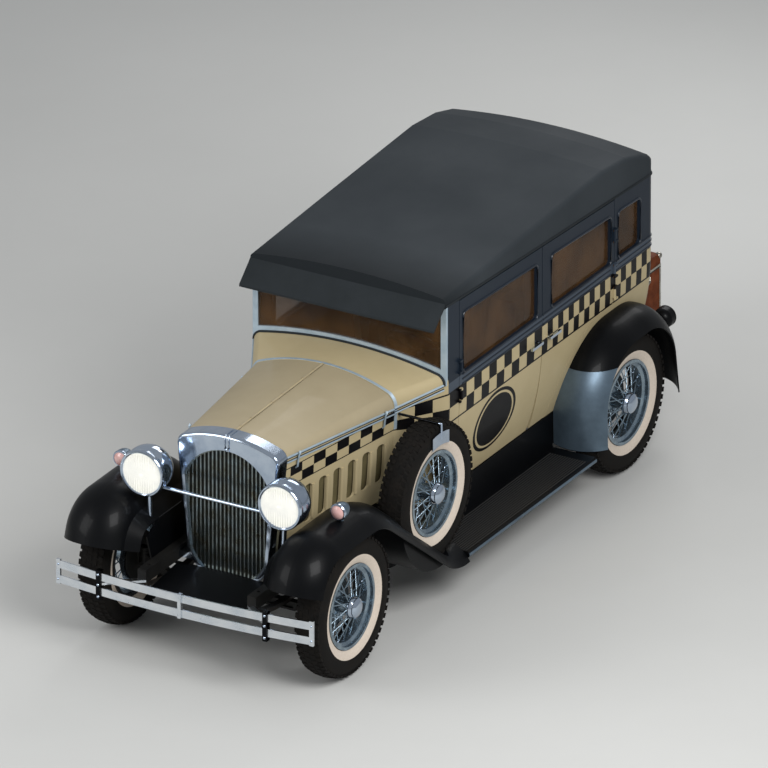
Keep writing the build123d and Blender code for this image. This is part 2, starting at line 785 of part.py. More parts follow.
def hood_line(offset):
    # Everything below the hood moulding, moved by an offset.
    front, rear = hood_rows[0], hood_rows[1]
    slope = (rear[6] - front[6]) / (rear[0] - front[0])
    start, end = front[0] - 135.0, rear[0] + 197.0
    start_z = front[6] + slope * (start - front[0]) + offset
    end_z = front[6] + slope * (end - front[0]) + offset
    below = closed((behind(start), 0.0), (behind(start), start_z), (behind(end), end_z), (behind(end), 0.0))
    return side_prism(below, -700.0, 700.0)


# The two lids meet at a hinge rod on the centre line.
hinge_radius = 4.0
hinge_lift = 3.0
lid_centre_gap = 10.0
hood_hinge_start = Vector(behind(30.0 + seat_gap), 0, hood_rows[0][9] + hinge_lift)
hood_hinge_end = Vector(behind(1008.0 - seat_gap), 0, hood_rows[1][9] + hinge_lift)
hinge_run = hood_hinge_end - hood_hinge_start


def lid_barrels(shares):
    # Short barrels round the hinge rod, tied to a lid by a flat strap.
    pieces = []
    for share in shares:
        start = hood_hinge_start + hinge_run * share
        end = hood_hinge_start + hinge_run * (share + 0.07)
        pieces.append(rod(tuple(start), tuple(end), hinge_radius + 3.5))
        z_top = min(start.Z, end.Z) - hinge_lift - 1.0
        pieces.append(block((start.X, end.X), (0.0, lid_centre_gap + 8.0), (z_top - 6.0, z_top)))
    return pieces


hinge_bore = rod(tuple(hood_hinge_start), tuple(hood_hinge_end), hinge_radius + running_gap)
hood_top = hood_shell - hood_line(hood_gap / 2.0)
left_lid = hood_top & block((behind(1100), behind(-100)), (lid_centre_gap, 900), (0, 2000))
right_lid = other_side(left_lid) + [other_side(piece) for piece in lid_barrels((0.17, 0.53, 0.89))]
left_lid = left_lid + lid_barrels((0.05, 0.41, 0.77))
save("hood_left", biggest(left_lid - hinge_bore))
save("hood_right", biggest(right_lid - hinge_bore))

# Louvred sides: slots with a rolled rib along the rear edge of each.
louvre_first = 235.0
louvre_pitch = 132.0
louvre_count = 6
louvre_width = 70.0
louvre_low = 758.0
louvre_high = 996.0
flank_rows = [
    (30.0 + seat_gap,) + hood_rows[0][1:],
    (1008.0 - seat_gap,) + hood_rows[1][1:],
]
flank_shell = section_loft(flank_rows, 0.0, hood_bows) - section_loft(flank_rows, hood_sheet, hood_bows)
hood_side = (flank_shell & hood_line(-hood_gap / 2.0)) & block(
    (behind(1100), behind(-100)), (0, 900), (622.0, 2000)
)


def hood_side_y(station):
    share = (station - hood_rows[0][0]) / (hood_rows[1][0] - hood_rows[0][0])
    low = hood_rows[0][1] + share * (hood_rows[1][1] - hood_rows[0][1])
    bulge = hood_rows[0][3] + share * (hood_rows[1][3] - hood_rows[0][3])
    return low + 0.62 * (bulge - low) + 8.0


louvre_ribs = []
for index in range(louvre_count):
    station = louvre_first + index * louvre_pitch
    slot = fillet(
        closed(
            (behind(station + louvre_width / 2), louvre_low),
            (behind(station - louvre_width / 2), louvre_low),
            (behind(station - louvre_width / 2), louvre_high),
            (behind(station + louvre_width / 2), louvre_high),
        ).vertices(),
        26.0,
    )
    hood_side -= side_prism(slot, 200.0, 600.0)
    rib_station = station + louvre_width / 2 + 12.0
    rib_y = hood_side_y(rib_station) - 2.0
    rib_foot = (behind(rib_station), rib_y - 6.0, louvre_low + 12.0)
    rib_head = (behind(rib_station), rib_y + 3.0, louvre_high - 12.0)
    louvre_ribs.append(rod(rib_foot, rib_head, 11.0))
hood_side += louvre_ribs
hinge_rod = rod(tuple(hood_hinge_start), tuple(hood_hinge_end), hinge_radius)
hood_flank = biggest(hood_side)
save("hood_sides", Compound(children=[hood_flank, other_side(hood_flank), hinge_rod]))

# Cowl: lofted shell, firewall, and the windshield posts with the strips of side wall under them.
column_start = (behind(1510.0), 345.0, 1305.0)
column_run = Vector(cos(radians(35.0)), 0, -sin(radians(35.0)))
column_radius = 20.0
firewall = cowl_solid & block((behind(1030), behind(1008)), (-900, 900), (560.0, 1600))
post_zone = block((behind(post_rear), behind(post_front)), (0, 900), (sill_height, wall_top))
post = straight_wall & post_zone & below_drip(0.0)
column_end = Vector(*column_start) + column_run * 830.0
column_hole = rod(column_start, tuple(column_end), column_radius + 1.0)
cowl = (cowl_shell + firewall + post + other_side(post)) - column_hole
front_lugs = hinge_lugs(front_hinge_station, post_rear, front_hinges)
cowl += front_lugs
cowl += [other_side(lug) for lug in front_lugs]
save("cowl", biggest(cowl))

# Windshield frame standing on the cowl, and the fixed glass.
frame_front = 1306.0
frame_rear = post_front - seat_gap
frame_half_width = 636.0
frame_top = drip_z(post_front) - 1.0
pane_half_width = 602.0
pane_top = frame_top - 30.0
pane = face_of(
    ThreePointArc((-pane_half_width, 1336.0), (0.0, 1397.0), (pane_half_width, 1336.0)),
    Line((pane_half_width, 1336.0), (pane_half_width, pane_top)),
    Line((pane_half_width, pane_top), (-pane_half_width, pane_top)),
    Line((-pane_half_width, pane_top), (-pane_half_width, 1336.0)),
)
screen_y = (-frame_half_width, frame_half_width)
screen = block((behind(frame_rear), behind(frame_front)), screen_y, (window_bottom - 12.0, frame_top))
screen -= front_prism(pane, behind(frame_rear + 5), behind(frame_front - 5))
screen = screen - cowl_solid - Pos(0, 0, 1.5) * cowl_solid
save("windshield_frame", biggest(screen))
pane_small = offset(pane, -seat_gap)
windshield = front_prism(pane_small, behind(1321.0), behind(1315.0))
rear_pane_face = offset(rear_window_face, -seat_gap)
rear_pane_x = behind(body_rear - wall / 2.0)
rear_pane = front_prism(rear_pane_face, rear_pane_x - glass_thickness / 2.0, rear_pane_x + glass_thickness / 2.0)
quarter_pane = window_glass("quarter")
save("fixed_glass", Compound(children=[windshield, rear_pane, quarter_pane, other_side(quarter_pane)]))

# Sun visor: a sloping board hung from the front of the roof.
visor_sheet = 14.0
visor_high, visor_low = drip_front_height + 32.0, drip_front_height - 86.0
visor_face = closed(
    (behind(roof_front - seat_gap), visor_high),
    (behind(1160.0), visor_low),
    (behind(1160.0), visor_low - visor_sheet),
    (behind(roof_front - seat_gap), visor_high - visor_sheet - 8.0),
)
visor = side_prism(visor_face, -body_half_width, body_half_width)
save("visor", visor)

# Floor boards with toe board and seat risers.
floor_top = floor_height + floor_board
floor_half = side_y(floor_height, wall) - 6.0
floor = block((behind(3560), behind(1330)), (-floor_half, floor_half), (floor_height, floor_top))
toe_half = 370.0
toe = side_prism(
    closed(
        (behind(1330), floor_height),
        (behind(1330), floor_top),
        (behind(1031), 820.0),
        (behind(1031), 795.0),
    ),
    -toe_half,
    toe_half,
)
riser_half = 480.0
floor += toe
floor += block((behind(2330), behind(1890)), (-riser_half, riser_half), (floor_top, 730.0))
floor += block((behind(3470), behind(3000)), (-riser_half, riser_half), (floor_top, 730.0))
save("floor", floor - column_hole)

# Seats as plain closed solids: cushion and leaning back.
seat_table = [
    ("front_seat", 1850.0, 2360.0, 2290.0, 90.0, 1320.0),
    ("rear_seat", 2950.0, 3470.0, 3425.0, 130.0, 1400.0),
]
seat_half = 500.0
for name, front, rear, back_front, back_thick, back_top in seat_table:
    cushion_face = fillet(
        closed(
            (behind(back_front - 4.0), 730.0 + seat_gap),
            (behind(front), 730.0 + seat_gap),
            (behind(front), 880.0),
            (behind(back_front - 4.0), 865.0),
        ).vertices(),
        24.0,
    )
    back_face = fillet(
        closed(
            (behind(back_front), 730.0 + seat_gap),
            (behind(back_front + back_thick), 730.0 + seat_gap),
            (behind(back_front + back_thick + 45.0), back_top),
            (behind(back_front + 75.0), back_top),
        ).vertices(),
        20.0,
    )
    cushion = side_prism(cushion_face, -seat_half, seat_half)
    back = side_prism(back_face, -seat_half, seat_half)
    save(name, Compound(children=[cushion, back]))

# Dashboard across the cowl, with the steering column passing below it.
dash_half = body_half_width - wall - seat_gap
dash_face = face_of(
    Line((-dash_half, 1110.0), (dash_half, 1110.0)),
    Line((dash_half, 1110.0), (dash_half, 1236.0)),
    ThreePointArc((dash_half, 1236.0), (0.0, 1310.0), (-dash_half, 1236.0)),
    Line((-dash_half, 1236.0), (-dash_half, 1110.0)),
)
dash = front_prism(dash_face, behind(1372.0), behind(1352.0))
dash -= rod(column_start, tuple(column_end), column_radius + 3.0)
save("dashboard", dash)

# Steering column, gear box on the frame, and the wheel on its own axis.
column = rod(tuple(Vector(*column_start) + column_run * (6.0 + seat_gap)), tuple(column_end), column_radius)
box_x = column_end.X
box_z = (rail_top + seat_gap, column_end.Z + 36.0)
column += block((box_x - 50.0, box_x + 50.0), (rail_in - 20.0, rail_out - 20.0), box_z)
save("steering_column", column)
wheel_radius = 210.0
wheel_plane = Plane(origin=column_start, x_dir=(0, 1, 0), z_dir=(-column_run.X, 0, -column_run.Z))
steering = Torus(wheel_radius, 13.0)
steering += Cylinder(34.0, 24.0)
for turn in (90.0, 210.0, 330.0):
    arm_tip = (wheel_radius * cos(radians(turn)), wheel_radius * sin(radians(turn)), 0.0)
    steering += rod((0, 0, 0), arm_tip, 8.0)
save("steering_wheel", wheel_plane * (Pos(0, 0, 6.0) * steering))

# Radiator shell, core and grille.
shell_front = -75.0
shell_rear = 30.0
shell_outline = face_of(
    ThreePointArc((-292.0, 1286.0), (0.0, 1340.0), (292.0, 1286.0)),
    bowed((334.0, 1225.0), (292.0, 1286.0), 12.0),
    Line((334.0, 1225.0), (318.0, 1050.0)),
    Line((318.0, 1050.0), (274.0, 585.0)),
    ThreePointArc((274.0, 585.0), (0.0, 388.0), (-274.0, 585.0)),
    Line((-274.0, 585.0), (-318.0, 1050.0)),
    Line((-318.0, 1050.0), (-334.0, 1225.0)),
    bowed((-292.0, 1286.0), (-334.0, 1225.0), 12.0),
)
grille_outline = face_of(
    ThreePointArc((-280.0, 1050.0), (0.0, 1245.0), (280.0, 1050.0)),
    Line((280.0, 1050.0), (244.0, 585.0)),
    ThreePointArc((244.0, 585.0), (0.0, 420.0), (-244.0, 585.0)),
    Line((-244.0, 585.0), (-280.0, 1050.0)),
)
rad_shell = front_prism(shell_outline, behind(shell_rear), behind(shell_front))
rim_edges = rad_shell.faces().sort_by(Axis.X)[-1].edges()
rad_shell = fillet(rim_edges, 20.0)
for side in (1, -1):
    foot_y = sorted((side * 228.0, side * (rail_in - seat_gap)))
    rad_shell += block((behind(20), behind(-50)), foot_y, (500.0, 540.0))
rad_shell -= front_prism(grille_outline, behind(shell_rear + 10), behind(shell_front - 10))
save("radiator_shell", rad_shell)

core_face = offset(grille_outline, -seat_gap)
save("radiator_core", front_prism(core_face, behind(22.0), behind(-38.0)))

bar_width = 9.0
bar_pitch = 26.0
bar_count = 21
ring_face = offset(grille_outline, -9.0)
grille_back, grille_front = behind(-44.0), behind(-60.0)
grille = front_prism(core_face, grille_back, grille_front)
bar_space = front_prism(ring_face, grille_back - 5.0, grille_front + 5.0)
grille -= bar_space
bars = []
for index in range(bar_count):
    bar_y = (index - (bar_count - 1) / 2.0) * bar_pitch
    bar = block((grille_back, grille_front), (bar_y - bar_width / 2, bar_y + bar_width / 2), (400.0, 1300.0))
    bars.append(bar & front_prism(core_face, grille_back, grille_front))
grille += bars
save("grille", grille)

# Front bumper: two bowed bars, end plates, clamps and irons to the frame.
bumper_half = 843.0
bumper_bow = 56.0
bar_thick = 9.0
bar_front = front_overhang - 10.0
bar_bottoms = (424.0, 517.0)
bar_height = 48.0


def bumper_slab(low, high, thin=0.0, half=bumper_half):
    front_x = behind(-bar_front)
    back = bar_thick - thin
    end_x = front_x - bumper_bow * (half / bumper_half) ** 2
    face = face_of(
        ThreePointArc((end_x, -half), (front_x, 0.0), (end_x, half)),
        Line((end_x, half), (end_x - back, half)),
        ThreePointArc((end_x - back, half), (front_x - back, 0.0), (end_x - back, -half)),
        Line((end_x - back, -half), (end_x, -half)),
    )
    return Pos(0, 0, low) * extrude(face, high - low)


bumper = bumper_slab(bar_bottoms[0], bar_bottoms[0] + bar_height)
bumper += bumper_slab(bar_bottoms[1], bar_bottoms[1] + bar_height)
for side in (1, -1):
    end_y = sorted((side * (bumper_half - 26.0), side * bumper_half))
    end_x = behind(-bar_front) - bumper_bow
    bumper += block((end_x - 10.0, end_x + 4.0), end_y, (418.0, 572.0))
    clamp_y = side * 546.0
    clamp_x = behind(-bar_front) - bumper_bow * (546.0 / bumper_half) ** 2
    bumper += block((clamp_x - 26.0, clamp_x + 9.0), (clamp_y - 15.0, clamp_y + 15.0), (396.0, 580.0))
    iron = closed(
        (clamp_x - 8.0, clamp_y - side * 14.0),
        (clamp_x - 8.0, clamp_y + side * 14.0),
        (clamp_x - 30.0, clamp_y + side * 14.0),
        (behind(rail_front) + seat_gap, side * rail_out),
        (behind(rail_front) + seat_gap, side * rail_in),
    )
    bumper += Pos(0, 0, 486.0) * extrude(iron, 14.0)
bumper += block((behind(-bar_front) - 16.0, behind(-front_overhang)), (-11.0, 11.0), (420.0, 570.0))
save("front_bumper", bumper)

# Headlamps on posts with a tie bar, fender lamps and tail lamps.
lamp_station = -222.0
lamp_y = 452.0
lamp_z = 1076.0
lamp_radius = 138.0
bowl_radius = lamp_radius + 6.0
bowl_centre = 8.0 - sqrt(bowl_radius ** 2 - lamp_radius ** 2)
bowl_bend = bowl_radius * sqrt(0.5)
bowl_back = bowl_centre - bowl_radius
lamp_face = face_of(
    Line((0.0, 28.0), (lamp_radius - 12.0, 28.0)),
    Line((lamp_radius - 12.0, 28.0), (lamp_radius - 12.0, 40.0)),
    Line((lamp_radius - 12.0, 40.0), (lamp_radius, 40.0)),
    Line((lamp_radius, 40.0), (lamp_radius, 8.0)),
    ThreePointArc((lamp_radius, 8.0), (bowl_bend, bowl_centre - bowl_bend), (0.0, bowl_back)),
    Line((0.0, bowl_back), (0.0, 28.0)),
)
lamp_body = revolve(lamp_face, Axis.Y)
lamp_seat = Pos(behind(lamp_station), lamp_y, lamp_z) * Rot(0, 0, -90)
headlamp = lamp_seat * lamp_body
save("headlamps", both_sides(headlamp))
lens_radius = lamp_radius - 12.0 - seat_gap
lens_rise = 12.0
lens_sphere = (lens_radius ** 2 + lens_rise ** 2) / (2.0 * lens_rise)
lens_middle = 38.0 + lens_rise - lens_sphere + sqrt(lens_sphere ** 2 - (lens_radius / 2.0) ** 2)
lens_face = face_of(
    Line((0.0, 28.0 + seat_gap), (lens_radius, 28.0 + seat_gap)),
    Line((lens_radius, 28.0 + seat_gap), (lens_radius, 38.0)),
    ThreePointArc((lens_radius, 38.0), (lens_radius / 2.0, lens_middle), (0.0, 38.0 + lens_rise)),
    Line((0.0, 38.0 + lens_rise), (0.0, 28.0 + seat_gap)),
)
save("headlamp_lenses", both_sides(lamp_seat * revolve(lens_face, Axis.Y)))

# Fender path tables: corner X from the axle, height, bend radius.
front_path_rows = [
    (560.0, 700.0, 0.0),
    (470.0, 965.0, 320.0),
    (-270.0, 965.0, 450.0),
    (-1100.0, 335.0, 240.0),
    (-board_front, 335.0, 0.0),
]
rear_path_rows = [
    (470.0, board_top + 0.5, 0.0),
    (496.0, 952.0, 455.0),
    (-484.0, 952.0, 430.0),
    (-586.0, 330.0, 0.0),
]


def fender_path(rows, axle_x):
    # Straight runs joined by tangent arcs in the X and Z plane.
    points = [Vector(axle_x + x, z) for x, z, bend in rows]
    curves = []
    start = points[0]
    for index in range(1, len(points) - 1):
        before = (points[index] - points[index - 1]).normalized()
        after = (points[index + 1] - points[index]).normalized()
        turn = radians(before.get_angle(after))
        reach = rows[index][2] * sin(turn / 2) / cos(turn / 2)
        first, last = points[index] - before * reach, points[index] + after * reach
        bisect = (after - before).normalized()
        centre = points[index] + bisect * (rows[index][2] / cos(turn / 2))
        middle = centre - bisect * rows[index][2]
        curves.append(Line(start, first))
        curves.append(ThreePointArc(first, middle, last))
        start = last
    curves.append(Line(start, points[-1]))
    flat = Wire([edge for curve in curves for edge in curve.edges()])
    return Plane.XZ * flat


def path_plane(rows, axle_x):
    run_x, run_z = rows[1][0] - rows[0][0], rows[1][1] - rows[0][1]
    return Plane(origin=(axle_x + rows[0][0], 0, rows[0][1]), x_dir=(0, 1, 0), z_dir=(-run_x, 0, -run_z))


crown_y = 660.0
lip_drop = 110.0
lip_reach = fender_half_width - crown_y
lip_radius = (lip_reach ** 2 + lip_drop ** 2) / (2.0 * lip_drop)


def fender_section(inner_reach, inner_drop, low, high, tail=None):
    # A sheet between two offsets of the crown line; tail adds a straight inner flange.
    inner_radius = (inner_reach ** 2 + inner_drop ** 2) / (2.0 * inner_drop)
    lip_angle = atan2(lip_reach, lip_radius - lip_drop)
    inner_angle = atan2(inner_reach, inner_radius - inner_drop)

    def outer_at(angle, rise):
        reach = (lip_radius + rise) * sin(angle)
        return crown_y + reach, (lip_radius + rise) * cos(angle) - lip_radius

    def inner_at(angle, rise):
        reach = (inner_radius + rise) * sin(angle)
        return crown_y - reach, (inner_radius + rise) * cos(angle) - inner_radius

    top_lip, low_lip = outer_at(lip_angle, high), outer_at(lip_angle, low)
    top_in, low_in = inner_at(inner_angle, high), inner_at(inner_angle, low)
    curves = [
        ThreePointArc(top_in, inner_at(inner_angle / 2, high), (crown_y, high)),
        ThreePointArc((crown_y, high), outer_at(lip_angle / 2, high), top_lip),
        Line(top_lip, low_lip),
        ThreePointArc(low_lip, outer_at(lip_angle / 2, low), (crown_y, low)),
        ThreePointArc((crown_y, low), inner_at(inner_angle / 2, low), low_in),
    ]
    if tail is None:
        curves.append(Line(low_in, top_in))
    else:
        tail_y, tail_drop = tail
        curves.append(Line(low_in, (tail_y, tail_drop + low)))
        curves.append(Line((tail_y, tail_drop + low), (tail_y, tail_drop + high)))
        curves.append(Line((tail_y, tail_drop + high), top_in))
    return face_of(*curves)


front_plane = path_plane(front_path_rows, front_axle_x)
front_path = fender_path(front_path_rows, front_axle_x)
front_sheet = fender_section(190.0, 130.0, -fender_sheet, 0.0, tail=(405.0, -200.0))
front_fender = sweep(front_plane * front_sheet, front_path)

# Inner apron hanging from the fender beside the frame.
apron_y = 400.0
apron_low = 545.0
apron_face = closed(
    (behind(-290.0), 700.0),
    (behind(-150.0), 768.0),
    (behind(100.0), 768.0),
    (behind(330.0), 660.0),
    (behind(460.0), apron_low),
    (behind(-240.0), apron_low),
)
front_fender += side_prism(apron_face, apron_y, apron_y + fender_sheet + 2.0)
hood_mass = section_loft(hood_rows, -2.0, hood_bows) + section_loft(cowl_rows, -2.0, cowl_bows)
plain_fender = biggest(front_fender - hood_mass)

# Well for the spare wheel, left side only: a pan under the fender sheet.
well_gap = 16.0
well_inner_y = spare_side - tyre_width / 2.0 - well_gap
well_outer_y = spare_side + tyre_width / 2.0 + well_gap
well_radius = tyre_radius + well_gap
well_x, well_z = behind(spare_station), spare_height
well_hole = across(well_x, well_z, well_radius, well_inner_y, well_outer_y)
well_pan = across(
    well_x, well_z, well_radius + fender_sheet, well_inner_y - fender_sheet, well_outer_y + fender_sheet
)
above_face = fender_section(190.0, 130.0, -1.0, 420.0)
above_fender = sweep(front_plane * above_face, front_path)
well_pan -= above_fender
well_pan &= block((behind(board_front), behind(500.0)), (0, 900), (200.0, 760.0))
spare_fender = (plain_fender + well_pan) - well_hole
spare_fender = biggest(spare_fender - hood_mass)
save("front_fenders", Compound(children=[spare_fender, other_side(plain_fender)]))

# Rear fenders, trimmed to the cabin wall, and the polished guards on their front faces.
rear_plane = path_plane(rear_path_rows, rear_axle_x)
rear_path = fender_path(rear_path_rows, rear_axle_x)
rear_sheet = fender_section(150.0, 48.0, -fender_sheet, 0.0)
rear_fender = sweep(rear_plane * rear_sheet, rear_path)
cabin_mass = straight_wall + rear_walls
rear_fender = biggest(rear_fender - cabin_mass - block((behind(4000), behind(2000)), (0, 500), (0, 1200)))
save("rear_fenders", both_sides(rear_fender))
rear_round = (150.0 ** 2 + 48.0 ** 2) / (2.0 * 48.0)
guard_drop = rear_round - sqrt(rear_round ** 2 - 118.0 ** 2)
guard_sheet = fender_section(118.0, guard_drop, 0.4, 3.4)
guard = sweep(rear_plane * guard_sheet, rear_path)
guard &= block((behind(2960.0), behind(2400.0)), (0, 900), (board_top + 6.0, 760.0))
guard = biggest(guard - cabin_mass)
save("gravel_guards", both_sides(guard))

# Running boards with the splash apron up to the sill.
board_under = board_top - board_thickness
board_edge = board_half_width - 12.0
board_face = face_of(
    Line((board_inner - 5.0, board_under), (board_edge, board_under)),
    bowed((board_edge, board_under), (board_edge, board_top), 12.0),
    Line((board_edge, board_top), (board_inner + 8.0, board_top)),
    Line((board_inner + 8.0, board_top), (board_inner + 2.0, sill_height - seat_gap)),
    Line((board_inner + 2.0, sill_height - seat_gap), (board_inner - 8.0, sill_height - seat_gap)),
    Line((board_inner - 8.0, sill_height - seat_gap), (board_inner - 5.0, board_under)),
)
board = front_prism(board_face, behind(board_rear), behind(board_front + seat_gap))
save("running_boards", both_sides(board))

# Headlamp bar: posts down to the fender aprons and a tie bar ahead of the grille.
bar_x = behind(lamp_station)
lamp_post = rod((bar_x - 30.0, 438.0, 760.0), (bar_x - 30.0, 446.0, lamp_z - 60.0), 15.0)
lamp_post = biggest(lamp_post - headlamp - spare_fender)
tie_bar = across(bar_x - 30.0, 985.0, 11.0, -lamp_y, lamp_y) - headlamp - other_side(headlamp)
save("headlamp_bar", Compound(children=[lamp_post, other_side(lamp_post), biggest(tie_bar)]))

small_face = face_of(
    Line((0.0, 34.0), (46.0, 34.0)),
    Line((46.0, 34.0), (50.0, 22.0)),
    ThreePointArc((50.0, 22.0), (36.0, -44.0), (0.0, -84.0)),
    Line((0.0, -84.0), (0.0, 34.0)),
)
small_lamp = Pos(behind(-22.0), 712.0, 1022.0) * Rot(0, 0, -90) * revolve(small_face, Axis.Y)
small_lamp += rod((behind(-12.0), 712.0, 930.0), (behind(-12.0), 712.0, 1000.0), 14.0)
save("fender_lamps", both_sides(biggest(small_lamp - spare_fender)))

tail_face = face_of(
    Line((0.0, -30.0), (58.0, -30.0)),
    Line((58.0, -30.0), (62.0, -24.0)),
    Line((62.0, -24.0), (62.0, 20.0)),
    ThreePointArc((62.0, 20.0), (44.0, 50.0), (0.0, 62.0)),
    Line((0.0, 62.0), (0.0, -30.0)),
)
tail_x, tail_y, tail_z = behind(3772.0), 672.0, 695.0
tail_lamp = Pos(tail_x, tail_y, tail_z) * Rot(0, 0, -90) * revolve(tail_face, Axis.Y)
tail_lamp += rod((tail_x + 30.0, tail_y, tail_z), (tail_x + 170.0, tail_y, tail_z - 40.0), 13.0)
save("tail_lamps", both_sides(biggest(tail_lamp - rear_fender)))

# Spare mount: arm from the cowl to the hub, strap over the tyre and clamp plate on its face.
hub_back_y = spare_side - 54.0 - seat_gap
mount = across(well_x, well_z, 52.0, hub_back_y - 10.0, hub_back_y)
mount += rod((behind(1060.0), 420.0, well_z + 30.0), (well_x, hub_back_y - 14.0, well_z), 20.0)
strap_top = spare_height + tyre_radius + 8.0
strap_x = behind(985.0)
strap_out = spare_side + tyre_width / 2.0 + 8.0
mount_strap = rod((behind(1060.0), 440.0, 1130.0), (strap_x, 590.0, strap_top), 8.0)
mount_strap += Pos(strap_x, 590.0, strap_top) * Sphere(8.0)
mount_strap += rod((strap_x, 590.0, strap_top), (strap_x, strap_out, strap_top), 8.0)
mount_strap += Pos(strap_x, strap_out, strap_top) * Sphere(8.0)
mount_strap += rod((strap_x, strap_out, strap_top), (strap_x, strap_out, strap_top - 90.0), 8.0)
plate_ring = across(well_x, well_z, tyre_radius - 42.0, strap_out - 4.0, strap_out + 4.0)
plate_ring -= across(well_x, well_z, tyre_radius - 118.0, strap_out - 10.0, strap_out + 10.0)
plate_ring &= block((well_x - 110.0, well_x + 75.0), (0, 900), (well_z, 1400))
mount_strap += plate_ring
save("spare_mount", Compound(children=[biggest(mount - cowl_solid), biggest(mount_strap - cowl_solid)]))

# Trunk rack, trunk box and lid.
trunk_rear = wheelbase + rear_overhang - 6.0
rack = block((behind(4080.0), behind(3732.0)), (rail_in, rail_out), (450.0, rail_bottom - seat_gap))
rack += other_side(rack)
for station in (3850.0, 3960.0, 4050.0):
    rack += block((behind(station + 30.0), behind(station)), (-rail_out, rail_out), (450.0, 474.0))
save("trunk_rack", rack)
trunk_out = block(
    (behind(trunk_rear), behind(trunk_front)),
    (-trunk_half_width, trunk_half_width),
    (trunk_bottom, trunk_split),
)
trunk_in = block(
    (behind(trunk_rear - trunk_wall), behind(trunk_front + trunk_wall)),
    (trunk_wall - trunk_half_width, trunk_half_width - trunk_wall),
    (trunk_bottom + trunk_wall, trunk_split + 10.0),
)
lid_low = trunk_split + seat_gap
lid_pin_radius = 3.0
lid_barrel_radius = 7.0
lid_hinge_x, lid_hinge_z = behind(trunk_front - 8.0), trunk_split
trunk_box = trunk_out - trunk_in
lid_barrels = []
lid_bores = []
for side in (1, -1):
    middle = side * 250.0
    trunk_box += across(lid_hinge_x, lid_hinge_z, lid_pin_radius, middle - 42.0, middle + 42.0)
    for near, far in ((30.0 + seat_gap, 42.0), (-42.0, -30.0 - seat_gap)):
        ear_y = (middle + near, middle + far)
        trunk_box += across(lid_hinge_x, lid_hinge_z, lid_barrel_radius, *ear_y)
        trunk_box += block((lid_hinge_x, behind(trunk_front)), ear_y, (lid_hinge_z - 7.0, lid_hinge_z - 1.0))
    leaf_y = (middle - 30.0, middle + 30.0)
    leaf_z = (lid_low + 0.7, lid_hinge_z + 7.0)
    lid_barrels.append(across(lid_hinge_x, lid_hinge_z, lid_barrel_radius, *leaf_y))
    lid_barrels.append(block((lid_hinge_x, behind(trunk_front + 6.0)), leaf_y, leaf_z))
    lid_bores.append(across(lid_hinge_x, lid_hinge_z, lid_pin_radius + running_gap, *leaf_y))
save("trunk_box", trunk_box)
crest = face_of(
    Line((behind(trunk_front), lid_low), (behind(trunk_front), trunk_top - 14.0)),
    ThreePointArc(
        (behind(trunk_front), trunk_top - 14.0),
        (behind((trunk_front + trunk_rear) / 2), trunk_top),
        (behind(trunk_rear), trunk_top - 14.0),
    ),
    Line((behind(trunk_rear), trunk_top - 14.0), (behind(trunk_rear), lid_low)),
    Line((behind(trunk_rear), lid_low), (behind(trunk_front), lid_low)),
)
lid = side_prism(crest, -trunk_half_width, trunk_half_width)
lid -= block(
    (behind(trunk_rear - trunk_wall), behind(trunk_front + trunk_wall)),
    (trunk_wall - trunk_half_width, trunk_half_width - trunk_wall),
    (lid_low - 5.0, trunk_top - 14.0 - trunk_wall),
)
hasp = block((behind(trunk_rear + 6.0), behind(trunk_rear)), (-30.0, 30.0), (lid_low + 4.0, lid_low + 40.0))
save("trunk_lid", biggest((lid + hasp + lid_barrels) - lid_bores))
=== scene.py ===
import math
import bmesh
import bpy
import numpy as np
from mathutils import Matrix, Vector


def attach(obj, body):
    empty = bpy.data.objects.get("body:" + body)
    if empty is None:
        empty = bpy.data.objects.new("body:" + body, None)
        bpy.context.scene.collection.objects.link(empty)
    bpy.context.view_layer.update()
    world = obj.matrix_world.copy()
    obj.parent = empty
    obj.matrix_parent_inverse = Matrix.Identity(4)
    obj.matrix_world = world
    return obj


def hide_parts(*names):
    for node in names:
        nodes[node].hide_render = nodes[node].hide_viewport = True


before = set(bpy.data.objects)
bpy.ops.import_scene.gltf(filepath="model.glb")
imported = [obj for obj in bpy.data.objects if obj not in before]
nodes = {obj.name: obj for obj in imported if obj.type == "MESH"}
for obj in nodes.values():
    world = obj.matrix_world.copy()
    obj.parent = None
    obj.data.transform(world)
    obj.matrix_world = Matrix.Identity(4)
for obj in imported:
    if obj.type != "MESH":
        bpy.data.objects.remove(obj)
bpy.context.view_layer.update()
scene = bpy.context.scene
print("frame loaded:", len(nodes), "CAD nodes")

frontAxle = 1.750  # row x of the front axle; stations run back from it in millimetres
hands = (("left", 1), ("right", -1))  # side names and the sign of y
crease = math.radians(35)  # edges sharper than this stay sharp


def behind(station):
    return frontAxle - station / 1000


def linear(hexCode):
    parts = [int(hexCode[i:i + 2], 16) / 255 for i in (1, 3, 5)]
    return tuple(c / 12.92 if c <= 0.04045 else ((c + 0.055) / 1.055) ** 2.4 for c in parts) + (1.0,)


def feed(tree, node, feeds):
    # a node gives its first output in use, a socket is linked, any other value is set
    for socket, source in feeds.items():
        if isinstance(source, bpy.types.Node):
            source = next(o for o in source.outputs if o.enabled)
        if isinstance(source, bpy.types.NodeSocket):
            tree.links.new(source, node.inputs[socket])
        else:
            node.inputs[socket].default_value = source
    return node


def add(tree, kind, feeds=None, **settings):
    # a kind without Node in it is a shader node
    node = tree.nodes.new(kind if "Node" in kind else "ShaderNode" + kind)
    for key, value in settings.items():
        setattr(node, key, value)
    return feed(tree, node, feeds or {})


